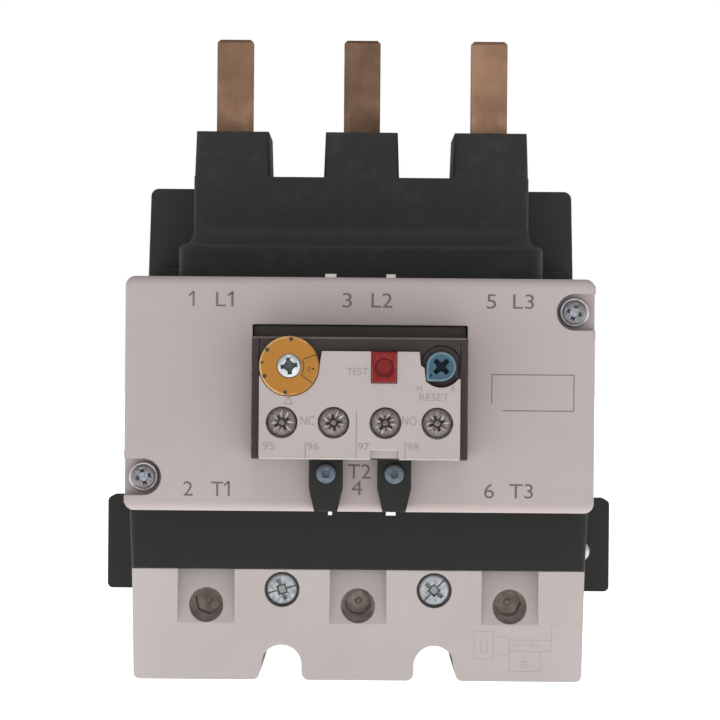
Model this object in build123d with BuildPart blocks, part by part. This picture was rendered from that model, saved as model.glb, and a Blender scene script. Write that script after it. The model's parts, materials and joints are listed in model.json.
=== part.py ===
"""Three-pole thermal overload relay that plugs its pins into a large contactor.

Sizes are millimetres. X runs to the right, Y to the back and Z up. The origin is on the rear
face, halfway between the two ears and at half their height. Every piece is drawn by its depth
in front of the rear face and by its height above the foot of the relay.
"""
import os
from math import atan, cos, radians, sin, tan

from build123d import *

os.makedirs("parts", exist_ok=True)

# Clearances and walls
fit = 0.05
seat_gap = 0.15
move_gap = 0.3
wall = 2.2
thin_wall = 1.4

# The three poles
pin_pitch = 28.0
load_pitch = 32.05
pole_numbers = (-1, 0, 1)

# Rear housing with its wings and ears
origin_height = 26.35
foot_height = 0.8
tray_half = 46.4
tray_top = 87.6
split_depth = 22.0
back_wall = 2.5
wing_low = 84.0
wing_top = 106.1
wing_low_half = 48.15
wing_top_half = 47.6
wing_thickness = 5.0
wing_corner = 1.75
wing_rim = 3.0
wing_pocket = 2.6
wing_edge = 1.0
ear_reach = 9.9
ear_low = 16.0
ear_top = 36.7
ear_depth = 12.5
ear_wall = 2.0
ear_corner = 1.2
ear_screw_reach = 3.0
ear_screw_height = 25.1
ear_screw_head = 2.6
ear_screw_dome = 1.4

# Front housing: band, body, deck behind the front cover
band_low = 23.3
band_top = 36.6
band_low_half = 47.85
band_spread = 0.65
band_depth = 61.0
body_top = 84.5
edge_round = 1.8
lower_half = 46.2
lower_depth = 46.0
deck_half = 46.4
deck_low = 37.6
deck_top = 83.7
deck_depth = 76.0
deck_corner = 1.5
partition_x = 16.05
partition = 1.6
rib_depth = 44.0

# Notches that run through the foot
notch_x = 16.1
notch_top = 7.4
notch_radius = 4.3
notch_flare = 0.8
notch_mouth = 1.5

# Pin shroud
turret_width = 15.66
turret_top = 117.0
turret_valley = 107.2
turret_draft = 2.0
tower_front = 40.0
tower_half = 36.3
flare_top = 96.1
flare_low = 92.1
skirt_half = 39.0
skirt_front = 52.0
shroud_round = 1.1
skirt_round = 4.0
skirt_lip = 0.95

# Pins, heaters, bimetals and load bars
pin_width = 8.0
pin_thickness = 4.0
pin_back = 23.0
pin_low = 64.0
pin_top = 138.1
pin_chamfer = 0.7
heater_width = 5.0
heater_thickness = 1.5
heater_front = 36.0
heater_bend = 2.0
heater_lap = 12.0
heater_kink = 3.0
heater_drop = 4.0
bimetal_thickness = 1.2
bimetal_width = 6.0
bimetal_back = 39.5
bimetal_top = 74.5
bimetal_foot = 5.0
bimetal_lift = 0.1
bar_width = 11.0
bar_thickness = 3.0
bar_back = 27.0
bar_low = 4.0
shelf_top = 38.0
shelf_front = 46.0
bar_bend = 2.5

# Box terminals
clamp_height = 15.7
cage_width = 16.0
cage_low = 6.5
cage_top = 22.5
cage_front = 47.5
cage_front_wall = 3.5
clamp_radius = 5.0
clamp_front = 50.0
clamp_back = 38.05
clamp_socket = 5.0
clamp_socket_depth = 5.5
pilot_radius = 2.0
pilot_length = 1.45
plate_front = 38.0
plate_thickness = 2.5
plate_low = 9.2
plate_top = 22.2
entry_half = 6.2
entry_back = 27.5
entry_front = 44.5

# Terminal cover
cover_low_half = 47.2
cover_top_half = 47.75
cover_corner = 1.3
cover_wall = 2.0
tool_hole = 3.6
ramp_width = 11.9
ramp_low = 11.9
ramp_depth = 3.4
ramp_block = 14.4
ramp_back = 56.0
cover_screw_x = 16.05
cover_screw_height = 19.1
cover_screw_recess = 3.7
cover_screw_head = 3.3
cover_screw_floor = 58.2
cover_screw_front = 60.3
cover_screw_shank = 1.75
cover_screw_tip = 46.0
cover_screw_cross = 3.6
boss_radius = 3.4

# Front cover
front_half = 47.05
front_low = 37.2
front_top = 84.1
front_tall = 24.0
window_corner = 0.3
front_wall = 2.0
front_corner = 2.0
pocket_radius = 3.65
pocket_sink = 3.8
pocket_skin = 2.0
pocket_rim = 1.6
front_screw_head = 3.0
front_screw_rise = 2.1
front_screw_shank = 1.25
front_screw_length = 14.2
front_screw_cross = 3.2
post_radius = 3.2
hook_rise = 1.2
hook_drop = 1.6
hook_deep = 3.0
top_hooks = ((-7.3, -5.0), (5.3, 7.2))
bottom_hooks = ((-6.3, -5.5), (5.6, 7.6))
front_screw_places = ((42.9, 77.5), (-43.2, 43.9))

# Trip module: case, bezel and front plate
module_half = 21.3
module_low = 48.0
module_tall = 24.1
module_hump = 2.3
module_hump_sink = 3.0
module_stand = 10.4
module_side_wall = 2.5
module_floor = 2.0
module_roof = 1.4
module_gap = 0.2
case_corner = 0.2
bezel_thick = 0.8
bezel_margin = 1.25
bezel_play = 0.1
plate_half = 19.8
plate_thick = 1.6
plate_tall = 21.3
plate_corner = 0.5
plate_lip = 1.2
plate_play = 0.2
latch_left = 2.2
latch_right = 7.8
latch_tall = 1.95
latch_depth = 0.8
latch_sill = 0.3

# Dial, test button and reset knob
dial_x = -13.93
dial_drop = 2.96
dial_radius = 5.85
dial_thick = 1.8
dial_proud = 0.4
dial_edge = 0.3
dial_shaft = 2.2
dial_boss = 5.4
dial_travel = 175.0
cam_setback = 13.4
cam_thick = 2.5
cam_small = 3.0
cam_rise = 1.5
dial_screw_head = 2.35
dial_recess = 0.8
test_x = 4.77
test_drop = 3.06
test_width = 4.81
test_tall = 6.11
test_proud = 0.3
test_length = 5.3
test_stem = 2.4
test_travel = 2.0
test_stop = 0.2
test_dish = 2.1
test_dish_depth = 0.6
reset_x = 15.99
reset_drop = 2.86
reset_radius = 2.9
reset_thick = 1.6
reset_proud = 0.2
knob_cross = 3.6
knob_room = 0.7
plunger_radius = 1.9
plunger_length = 15.6
wedge_reach = 2.54
wedge_length = 4.5
wedge_flat = 2.0
wedge_half = 1.2
knob_corner = 0.5
well_radius = 4.15
well_depth = 6.6
well_skin = 1.4
well_wall = 0.5
dial_notch_low = 2.2
dial_notch = ((5.9, -0.4), (6.45, 2.96))
knob_notch = ((-4.3, 2.86), (-4.0, 0.15), (-3.3, -0.3), (-3.05, -2.45), (3.81, -2.45))

# Contact rocker and the parts that drive it
rocker_stand = 16.0
rocker_pin = 1.2
rocker_tall = 6.0
rocker_hub = 2.6
rocker_half = 16.5
rocker_arm = 3.0
rocker_tail = 3.0
rocker_tail_tall = 4.0
rocker_rise = 12.5
lug_rise = 1.6
lug_half = 1.6
lug_width = 2.0
lug_length = 5.8
lug_gap = 0.95
bridge_tall = 3.0
bridge_thickness = 0.8
bridge_inner = 3.2
rivet_radius = 1.2
rivet_height = 0.6
contact_gap = 0.1
trip_travel = 3.0
drive_setback = 6.0
drive_radius = 1.2
drive_slot = 0.15
drive_end = 2.5
prong = 1.3
fork_end = 3.0
fork_heel = 2.5
arm_half = 2.0
arm_thick = 1.8
arm_gap = 0.9
arm_lap = 1.0
window_gap = 0.4
lever_x = -9.8
lever_rise = 4.6
lever_pin = 1.0
lever_pin_length = 7.0
lever_hub = 2.1
lever_reach_above = 3.6
lever_width = 1.6
lever_finger = 1.6

# Slides
slide_low = 66.4
slide_high = 73.6
slide_front = 58.4
slide_thickness = 2.0
slide_space = 0.5
slide_left = -37.0
slide_right = 36.0
slide_corner = 0.8
rail_thickness = 1.5
rail_gap = 3.0
rail_lap = 1.0
finger_radius = 1.0
finger_back = 41.0
finger_play = 0.4

# Auxiliary terminals
aux_pitch = 10.19
aux_rise = 7.24
aux_hole = 3.13
aux_head = 2.9
aux_head_proud = 0.6
aux_head_thick = 4.35
aux_shank = 1.7
aux_length = 12.4
aux_slot = 4.6
aux_cross = 3.4
aux_slot_width = 0.8
aux_slot_depth = 1.3
aux_clamp_side = 6.2
aux_clamp_thick = 1.0
aux_clamp_corner = 0.6
aux_clamp_gap = 2.2
aux_wall_rise = 5.2
aux_wall_width = 1.0
aux_wall_behind = 3.0
strip_thickness = 1.0
strip_width = 4.4
strip_pad_width = 6.4
strip_pad_half = 3.3
strip_end = 1.7
strip_bend = 0.8
aux_entry_half = 2.3
aux_entry_behind = 0.5
aux_entry_long = 4.8

# Clips under the module
clip_places = (-6.6, 7.0)
clip_width = 6.75
clip_tip_width = 4.6
clip_taper = 4.6
clip_tall = 10.6
clip_thickness = 3.4
clip_screw_drop = 3.0
clip_screw_head = 2.0
clip_screw_shank = 1.0

# Sizes that follow from those above
ear_half = tray_half + ear_reach
ear_screw_x = tray_half + ear_screw_reach
band_top_half = band_low_half + band_spread
front_depth = deck_depth + front_tall
pocket_floor = front_depth - pocket_sink
pocket_back = pocket_floor - pocket_skin
front_screw_front = pocket_floor + front_screw_rise
front_screw_tip = pocket_floor - front_screw_length
rocker_depth = deck_depth + rocker_stand
drive_depth = deck_depth - drive_setback
module_top = module_low + module_tall
module_hump_top = module_top + module_hump
module_hump_depth = front_depth - module_hump_sink
module_rim = front_depth + module_stand
module_face = module_rim + plate_thick
case_half = module_half - module_side_wall
case_floor = module_low + module_floor
case_roof = module_top - module_roof
hump_roof = module_hump_top - module_roof
case_back = deck_depth + thin_wall
plate_face_top = module_low + plate_tall
dial_height = plate_face_top - dial_drop
dial_front = module_face + dial_proud
dial_back = dial_front - dial_thick
cam_back = module_rim - cam_setback
cam_front = cam_back + cam_thick
test_height = plate_face_top - test_drop
test_front = module_face + test_proud
test_back = test_front - test_length
reset_height = plate_face_top - reset_drop
reset_front = module_face + reset_proud
reset_back = reset_front - reset_thick
plunger_back = reset_back - plunger_length
well_floor = module_face - well_depth
well_back = well_floor - well_skin
well_low = reset_height - well_radius - well_wall
aux_height = module_low + aux_rise
aux_head_front = module_rim + aux_head_proud
aux_head_back = aux_head_front - aux_head_thick
aux_clamp_front = aux_head_back - fit
aux_clamp_back = aux_clamp_front - aux_clamp_thick
aux_tip = aux_head_front - aux_length
strip_front = aux_clamp_back - aux_clamp_gap
contact_height = module_low + rocker_rise
rocker_low = contact_height - rocker_tall / 2
rocker_high = contact_height + rocker_tall / 2
tail_low = contact_height - rocker_tail_tall / 2
tail_high = contact_height + rocker_tail_tall / 2
arm_high = tail_low - arm_gap
arm_low = arm_high - arm_thick
lever_height = module_low + lever_rise
lever_top = dial_height + lever_reach_above
lug_right = reset_x - wedge_reach - lug_gap
finger_height = (slide_low + slide_high) / 2
clip_low = module_low - clip_tall
clip_taper_height = clip_low + clip_taper
clip_screw_height = module_low - clip_screw_drop
turret_base = turret_width + 2 * (turret_top - turret_valley) * tan(radians(turret_draft))
clear_of_bore = plunger_radius + fit
trip_arm = rocker_depth - drive_depth
heater_middle = pin_back + pin_thickness + heater_thickness / 2
bar_middle = bar_back + bar_thickness / 2
shelf_middle = shelf_top - bar_thickness / 2
trip_angle = atan(trip_travel / trip_arm)
aux_places = tuple((number - 1.5) * aux_pitch for number in range(4))
pin_places = tuple(number * pin_pitch for number in pole_numbers)
load_places = tuple(number * load_pitch for number in pole_numbers)
finger_offset = bimetal_thickness / 2 + seat_gap + finger_radius
tail_swing = (rocker_depth - deck_depth + wall) * tan(trip_angle)
window_left = -(rocker_tail / 2 + tail_swing + window_gap)
window_right = rocker_tail / 2 + window_gap


def facing(depth):
    """Drawing plane that looks at the front, this far in front of the rear face."""
    return Plane(origin=(0, -depth, -origin_height), x_dir=(1, 0, 0), z_dir=(0, -1, 0))


def level(height):
    """Drawing plane that looks down, this far above the foot."""
    return Plane(origin=(0, 0, height - origin_height), x_dir=(1, 0, 0), z_dir=(0, 0, 1))


def beside(x):
    """Drawing plane in the side view: first number is the depth, second the height."""
    return Plane(origin=(x, 0, -origin_height), x_dir=(0, -1, 0), z_dir=(-1, 0, 0))


def panel(left, right, low, high, depth, radius=0):
    """Rectangle in the front view, with round corners where a radius is given."""
    with BuildSketch(facing(depth)) as outline:
        with Locations(((left + right) / 2, (low + high) / 2)):
            if radius:
                RectangleRounded(right - left, high - low, radius)
            else:
                Rectangle(right - left, high - low)
    return outline.sketch


def disc(x, height, radius, depth):
    """Circle in the front view."""
    with BuildSketch(facing(depth)) as outline:
        with Locations((x, height)):
            Circle(radius)
    return outline.sketch


def shape(points, depth):
    """Polygon in the front view."""
    with BuildSketch(facing(depth)) as outline:
        Polygon(*points, align=None)
    return outline.sketch


def add_panel(left, right, low, high, back, front, radius=0, mode=Mode.ADD):
    """Block of the part in hand, drawn in the front view between two depths."""
    extrude(panel(left, right, low, high, back, radius), amount=front - back, mode=mode)


def add_disc(x, height, radius, back, front, mode=Mode.ADD):
    """Cylinder of the part in hand that points at the viewer."""
    extrude(disc(x, height, radius, back), amount=front - back, mode=mode)


def add_post(x, depth, radius, low, high, mode=Mode.ADD):
    """Upright cylinder of the part in hand."""
    with BuildSketch(level(low)) as outline:
        with Locations((x, -depth)):
            Circle(radius)
    extrude(outline.sketch, amount=high - low, mode=mode)


def bent_strip(points, x, width, thickness, bend):
    """Flat metal strip bent in the side view, through points of depth and height."""
    with BuildSketch(beside(x)) as section:
        with BuildLine() as route:
            FilletPolyline(*points, radius=bend)
        trace(route.line, line_width=thickness)
    extrude(section.sketch, amount=width / 2, both=True)


def save(piece, label):
    """Name a finished piece and write it to its own file."""
    piece.part.label = label
    export_step(piece.part, f"parts/{label}.step")


def foot_outline(half_low, half_high, low, high, depth, grow):
    """Front view of a housing's lower part, with its notches widened by a wall."""
    radius = notch_radius + grow
    centre = notch_top - notch_radius
    inner = notch_x - radius
    outer = notch_x + radius
    with BuildSketch(facing(depth)) as outline:
        Polygon(
            (-half_low, low), (half_low, low), (half_high, high), (-half_high, high), align=None
        )
        with Locations((-notch_x, centre), (notch_x, centre)):
            Circle(radius, mode=Mode.SUBTRACT)
        for side in (-1, 1):
            Polygon(
                (side * inner, centre),
                (side * outer, centre),
                (side * (outer + notch_flare), -wall),
                (side * (inner - notch_flare / 8), -wall),
                align=None,
                mode=Mode.SUBTRACT,
            )
    return outline.sketch


# Rear housing
with BuildPart() as rear_housing:
    extrude(
        foot_outline(tray_half, tray_half, foot_height, tray_top, 0, 0), amount=split_depth
    )
    with BuildSketch(facing(0)) as wings:
        Polygon(
            (-wing_low_half, wing_low),
            (wing_low_half, wing_low),
            (wing_top_half, wing_top),
            (-wing_top_half, wing_top),
            align=None,
        )
        fillet(wings.vertices(), wing_corner)
    extrude(wings.sketch, amount=wing_thickness)
    for side in (-1, 1):
        inner_x, outer_x = sorted((side * (tray_half - 1), side * ear_half))
        add_panel(inner_x, outer_x, ear_low, ear_top, 0, ear_depth, ear_corner)
    cavity_half = tray_half - wall
    extrude(
        foot_outline(
            cavity_half, cavity_half, foot_height + wall, tray_top - wall, back_wall, wall
        ),
        amount=split_depth,
        mode=Mode.SUBTRACT,
    )
    for side in (-1, 1):
        inner_x, outer_x = sorted((side * (tray_half + wing_edge), side * (ear_half - ear_wall)))
        add_panel(
            inner_x, outer_x, ear_low + ear_wall, ear_top - ear_wall, 0, ear_depth - ear_wall,
            mode=Mode.SUBTRACT,
        )
        add_panel(
            min(side * wing_rim, side * (wing_top_half - wing_rim)),
            max(side * wing_rim, side * (wing_top_half - wing_rim)),
            tray_top + wing_rim, wing_top - wing_rim, 0, wing_pocket, wing_edge,
            mode=Mode.SUBTRACT,
        )
        add_panel(
            side * partition_x - partition / 2, side * partition_x + partition / 2,
            notch_top + 1, tray_top - wall / 2, back_wall, split_depth,
        )
    add_disc(
        ear_screw_x, ear_screw_height, cover_screw_shank, 0, ear_depth, mode=Mode.SUBTRACT
    )
save(rear_housing, "rear_housing")

# Front housing
band_profile = (
    (-band_low_half, band_low),
    (band_low_half, band_low),
    (band_top_half, band_top),
    (band_top_half, body_top),
    (-band_top_half, body_top),
    (-band_top_half, band_top),
)
with BuildPart() as front_housing:
    extrude(shape(band_profile, split_depth), amount=band_depth - split_depth)
    side_edges = front_housing.edges().filter_by(
        lambda edge: abs(edge.center().Y + band_depth) < fit and abs(edge.center().X) > tray_half
    )
    fillet(side_edges, edge_round)
    extrude(
        foot_outline(lower_half, lower_half, foot_height, band_low + wall, split_depth, 0),
        amount=lower_depth - split_depth,
    )
    add_panel(
        -deck_half, deck_half, deck_low, deck_top, band_depth - wall, deck_depth,
        deck_corner,
    )
    body_half = band_top_half - wall
    add_panel(
        -body_half, body_half, band_low + wall, body_top - wall, split_depth,
        band_depth - wall, mode=Mode.SUBTRACT,
    )
    extrude(
        foot_outline(
            lower_half - wall, lower_half - wall, foot_height + wall, band_low + wall,
            split_depth, wall,
        ),
        amount=lower_depth - split_depth,
        mode=Mode.SUBTRACT,
    )
    add_panel(
        -deck_half + wall, deck_half - wall, deck_low + wall, deck_top - wall, band_depth,
        deck_depth - wall, mode=Mode.SUBTRACT,
    )
    for side in (-1, 1):
        add_panel(
            side * partition_x - partition / 2, side * partition_x + partition / 2,
            notch_top + 1, body_top - wall / 2, split_depth, shelf_front,
        )
    rib_low = shelf_top - bar_thickness - wall
    add_panel(
        -body_half - 1, body_half + 1, rib_low, rib_low + wall,
        bar_middle + bar_bend + move_gap, rib_depth,
    )
    for x in (-cover_screw_x, cover_screw_x):
        add_disc(x, cover_screw_height, boss_radius, split_depth, ramp_back)
        add_disc(
            x, cover_screw_height, cover_screw_shank + fit, cover_screw_tip - 1, ramp_back,
            mode=Mode.SUBTRACT,
        )
    # Slots for the pins
    for x in pin_places:
        with BuildSketch(level(body_top - wall - 1)) as pin_slot:
            with Locations((x, -(pin_back + pin_thickness / 2))):
                Rectangle(pin_width + 2 * seat_gap, pin_thickness + 2 * seat_gap)
        extrude(pin_slot.sketch, amount=wall + 2, mode=Mode.SUBTRACT)
    # Cable entries in the floor
    for x in load_places:
        with BuildSketch(level(0)) as cable_entry:
            with Locations((x, -(entry_back + entry_front) / 2)):
                Rectangle(2 * entry_half, entry_front - entry_back)
        extrude(cable_entry.sketch, amount=foot_height + wall + 1, mode=Mode.SUBTRACT)
    # Windows for the drive arm and for the tail of the contact rocker
    add_panel(
        -arm_half - trip_travel - window_gap, arm_half + window_gap, arm_low - window_gap,
        arm_high + window_gap, band_depth - wall - 1, band_depth + 1, mode=Mode.SUBTRACT,
    )
    add_panel(
        window_left, window_right, tail_low - window_gap, tail_high + window_gap,
        deck_depth - wall - 1, deck_depth + 1, mode=Mode.SUBTRACT,
    )
    # Rails of the slides
    rail_back = slide_front - 2 * slide_thickness - slide_space - rail_lap
    add_panel(
        slide_left, slide_right, slide_high + move_gap, slide_high + move_gap + rail_thickness,
        rail_back, band_depth - wall,
    )
    arm_clear_left = -arm_half - trip_travel - rail_gap
    arm_clear_right = arm_half + rail_gap
    for left, right in ((slide_left, arm_clear_left), (arm_clear_right, slide_right)):
        add_panel(
            left, right, slide_low - move_gap - rail_thickness, slide_low - move_gap,
            rail_back, band_depth - wall,
        )
    # Posts for the screws of the front cover
    post_limit = front_half - front_wall - seat_gap
    for x, height in front_screw_places:
        with BuildSketch(facing(deck_depth - wall)) as post:
            with Locations((x, height)):
                Circle(post_radius)
            with Locations((0, height)):
                Rectangle(2 * post_limit, 4 * post_radius, mode=Mode.INTERSECT)
        extrude(post.sketch, amount=pocket_back - deck_depth + wall)
        add_disc(
            x, height, front_screw_shank + fit, front_screw_tip - 1, pocket_back,
            mode=Mode.SUBTRACT,
        )
save(front_housing, "front_housing")

# Pin shroud: three turrets on a block that flares out to its skirt
shroud_back = wing_thickness


def shroud_section(height, half, front, radius):
    """Plan of the shroud at one height, with its front corners rounded."""
    with BuildSketch(level(height)) as plan:
        with Locations((0, -(shroud_back + front) / 2)):
            RectangleRounded(2 * half, front - shroud_back, radius)
    return plan.sketch


with BuildPart() as pin_shroud:
    extrude(
        shroud_section(tray_top, skirt_half, skirt_front, skirt_round),
        amount=flare_low - skirt_lip - tray_top,
    )
    with BuildSketch(level(body_top)) as front_skirt:
        with Locations((0, -(split_depth + skirt_front) / 2)):
            Rectangle(2 * skirt_half, skirt_front - split_depth)
        front_corners = front_skirt.vertices().filter_by_position(
            Axis.Y, -skirt_front - 1, -skirt_front + 1
        )
        fillet(front_corners, skirt_round)
    extrude(front_skirt.sketch, amount=tray_top - body_top)
    lip_steps = 3
    flare_steps = 5
    sections = []
    for step in range(lip_steps):
        angle = radians(90 * step / lip_steps)
        shrink = skirt_lip * (1 - cos(angle))
        sections.append(
            shroud_section(
                flare_low - skirt_lip * (1 - sin(angle)), skirt_half - shrink,
                skirt_front - shrink, skirt_round - shrink,
            )
        )
    for step in range(flare_steps + 1):
        angle = radians(90 * step / flare_steps)
        flare_round = skirt_round - skirt_lip
        sections.append(
            shroud_section(
                flare_low + (flare_top - flare_low) * (1 - cos(angle)),
                skirt_half - skirt_lip - (skirt_half - skirt_lip - tower_half) * sin(angle),
                skirt_front - skirt_lip - (skirt_front - skirt_lip - tower_front) * sin(angle),
                flare_round - (flare_round - shroud_round) * sin(angle),
            )
        )
    loft(sections=sections, ruled=True)
    extrude(
        shroud_section(flare_top, tower_half, tower_front, shroud_round),
        amount=turret_valley - flare_top,
    )
    for x in pin_places:
        with BuildSketch(level(turret_valley)) as turret:
            with Locations((x, -(shroud_back + tower_front) / 2)):
                RectangleRounded(turret_base, tower_front - shroud_back, shroud_round)
        extrude(turret.sketch, amount=turret_top - turret_valley, taper=turret_draft)
    # Hollow inside
    with BuildSketch(level(body_top - 1)) as hollow:
        with Locations((0, -(shroud_back + tower_front) / 2)):
            Rectangle(2 * (tower_half - wall), tower_front - shroud_back - 2 * wall)
    extrude(hollow.sketch, amount=turret_valley - wall - body_top + 1, mode=Mode.SUBTRACT)
    for x in pin_places:
        with BuildSketch(level(turret_valley - wall - 1)) as turret_hollow:
            with Locations((x, -(shroud_back + tower_front) / 2)):
                Rectangle(turret_width - 2 * wall, tower_front - shroud_back - 2 * wall)
        extrude(
            turret_hollow.sketch, amount=turret_top - turret_valley + 1, mode=Mode.SUBTRACT
        )
        with BuildSketch(level(turret_top - 2 * wall)) as pin_hole:
            with Locations((x, -(pin_back + pin_thickness / 2))):
                Rectangle(pin_width + 2 * seat_gap, pin_thickness + 2 * seat_gap)
        extrude(pin_hole.sketch, amount=3 * wall, mode=Mode.SUBTRACT)
save(pin_shroud, "pin_shroud")

# Poles: pin, heater strip, bimetal strip and load bar
pole_names = ("1", "2", "3")
for name, pin_x, load_x in zip(pole_names, pin_places, load_places):
    with BuildPart() as line_pin:
        add_panel(
            pin_x - pin_width / 2, pin_x + pin_width / 2, pin_low, pin_top, pin_back,
            pin_back + pin_thickness,
        )
        chamfer(line_pin.faces().sort_by(Axis.Z)[-1].edges(), pin_chamfer)
    save(line_pin, f"line_pin_{name}")

    with BuildPart() as heater_strip:
        bent_strip(
            (
                (heater_middle, pin_low + heater_lap),
                (heater_middle, pin_low + heater_kink),
                (heater_front, pin_low - heater_drop),
                (heater_front, shelf_top),
            ),
            pin_x, heater_width, heater_thickness, heater_bend,
        )
    save(heater_strip, f"heater_strip_{name}")

    with BuildPart() as bimetal_strip:
        half_strip = bimetal_thickness / 2
        low = shelf_top + bimetal_lift
        with BuildSketch(facing(bimetal_back)) as bimetal_section:
            Polygon(
                (pin_x - half_strip, low),
                (pin_x + bimetal_foot, low),
                (pin_x + bimetal_foot, low + bimetal_thickness),
                (pin_x + half_strip, low + bimetal_thickness),
                (pin_x + half_strip, bimetal_top),
                (pin_x - half_strip, bimetal_top),
                align=None,
            )
        extrude(bimetal_section.sketch, amount=bimetal_width)
    save(bimetal_strip, f"bimetal_strip_{name}")

    with BuildPart() as load_bar:
        bent_strip(
            ((shelf_front, shelf_middle), (bar_middle, shelf_middle), (bar_middle, bar_low)),
            load_x, bar_width, bar_thickness, bar_bend,
        )
    save(load_bar, f"load_bar_{name}")

    with BuildPart() as terminal_cage:
        add_panel(
            load_x - cage_width / 2, load_x + cage_width / 2, cage_low, cage_top,
            bar_back - wall, cage_front,
        )
        opening_half = bar_width / 2 + move_gap
        add_panel(
            load_x - opening_half, load_x + opening_half, cage_low - 1, cage_top + 1, bar_back,
            cage_front - cage_front_wall, mode=Mode.SUBTRACT,
        )
        add_disc(
            load_x, clamp_height, clamp_radius + fit, cage_front - cage_front_wall - 1,
            cage_front + 1, mode=Mode.SUBTRACT,
        )
    save(terminal_cage, f"terminal_cage_{name}")

    with BuildPart() as pressure_plate:
        add_panel(
            load_x - bar_width / 2, load_x + bar_width / 2, plate_low, plate_top,
            plate_front - plate_thickness, plate_front,
        )
        add_disc(
            load_x, clamp_height, pilot_radius + 2 * fit, plate_front - pilot_length - fit,
            plate_front, mode=Mode.SUBTRACT,
        )
    save(pressure_plate, f"pressure_plate_{name}")

    with BuildPart() as clamp_screw:
        add_disc(load_x, clamp_height, clamp_radius, clamp_back, clamp_front)
        chamfer(clamp_screw.faces().sort_by(Axis.Y)[0].edges(), 0.8)
        add_disc(
            load_x, clamp_height, pilot_radius, clamp_back - pilot_length, clamp_back
        )
        with BuildSketch(facing(clamp_front)) as socket:
            with Locations((load_x, clamp_height)):
                RegularPolygon(clamp_socket / 2, 6, major_radius=False)
        extrude(socket.sketch, amount=-clamp_socket_depth, mode=Mode.SUBTRACT)
    save(clamp_screw, f"clamp_screw_{name}")

# Terminal cover
with BuildPart() as terminal_cover:
    extrude(
        foot_outline(cover_low_half, cover_top_half, 0, band_low, lower_depth, 0),
        amount=band_depth - lower_depth,
    )
    corner_edges = terminal_cover.edges().filter_by(
        lambda edge: edge.center().Z < fit - origin_height and abs(edge.center().X) > tray_half
    )
    fillet(corner_edges.filter_by(Axis.Y), cover_corner)
    mouth_edges = terminal_cover.edges().filter_by(
        lambda edge: edge.center().Z < fit - origin_height and abs(edge.center().X) < deck_low
    )
    fillet(mouth_edges.filter_by(Axis.Y), notch_mouth)
    extrude(
        foot_outline(
            cover_low_half - cover_wall, cover_low_half - cover_wall, cover_wall, band_low,
            lower_depth, cover_wall,
        ),
        amount=band_depth - cover_wall - lower_depth,
        mode=Mode.SUBTRACT,
    )
    for x in load_places:
        add_panel(
            x - ramp_block / 2, x + ramp_block / 2, clamp_height - tool_hole - wall,
            band_low, ramp_back, band_depth - cover_wall / 2,
        )
        with BuildSketch(beside(x)) as ramp:
            Polygon(
                (band_depth, ramp_low),
                (band_depth, band_low),
                (band_depth - ramp_depth, band_low),
                align=None,
            )
        extrude(ramp.sketch, amount=ramp_width / 2, both=True, mode=Mode.SUBTRACT)
        add_disc(x, clamp_height, tool_hole, ramp_back, band_depth, mode=Mode.SUBTRACT)
    for x in (-cover_screw_x, cover_screw_x):
        add_disc(
            x, cover_screw_height, cover_screw_recess + 0.3, ramp_back,
            band_depth - cover_wall / 2,
        )
        add_disc(
            x, cover_screw_height, cover_screw_recess, cover_screw_floor, band_depth,
            mode=Mode.SUBTRACT,
        )
        add_disc(
            x, cover_screw_height, cover_screw_shank + fit, ramp_back, band_depth,
            mode=Mode.SUBTRACT,
        )
save(terminal_cover, "terminal_cover")


def pocket_outline(x, height, radius, depth):
    """Round pocket in the front cover that runs out through its side edge."""
    left, right = sorted((x, front_half * x / abs(x)))
    with BuildSketch(facing(depth)) as outline:
        with Locations((x, height)):
            Circle(radius)
        with Locations(((left + right) / 2, height)):
            Rectangle(right - left, 2 * radius)
        with Locations((0, height)):
            Rectangle(2 * front_half, 2 * radius, mode=Mode.INTERSECT)
    return outline.sketch


# Front cover
with BuildPart() as front_cover:
    add_panel(
        -front_half, front_half, front_low, front_top, deck_depth, front_depth, front_corner
    )
    fillet(front_cover.faces().sort_by(Axis.Y)[0].edges(), edge_round)
    add_panel(
        -front_half + front_wall, front_half - front_wall, front_low + front_wall,
        front_top - front_wall, deck_depth, front_depth - front_wall, mode=Mode.SUBTRACT,
    )
    window_half = module_half + module_gap
    add_panel(
        -window_half, window_half, module_low - module_gap, module_hump_top + module_gap,
        deck_depth, front_depth, window_corner, mode=Mode.SUBTRACT,
    )
    # Hooks that hold the cover at its top and bottom edges
    for left, right in top_hooks:
        add_panel(
            left, right, front_top - front_wall, front_top + hook_rise, deck_depth,
            deck_depth + hook_deep,
        )
    for left, right in bottom_hooks:
        add_panel(
            left, right, front_low - hook_drop, front_low + front_wall, deck_depth,
            deck_depth + hook_deep,
        )
    for x, height in front_screw_places:
        extrude(
            pocket_outline(x, height, pocket_radius + pocket_rim, pocket_back),
            amount=front_depth - front_wall / 2 - pocket_back,
        )
        extrude(
            pocket_outline(x, height, pocket_radius, pocket_floor),
            amount=front_depth - pocket_floor,
            mode=Mode.SUBTRACT,
        )
        add_disc(
            x, height, front_screw_shank + fit, pocket_back, pocket_floor, mode=Mode.SUBTRACT
        )
save(front_cover, "front_cover")

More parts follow.
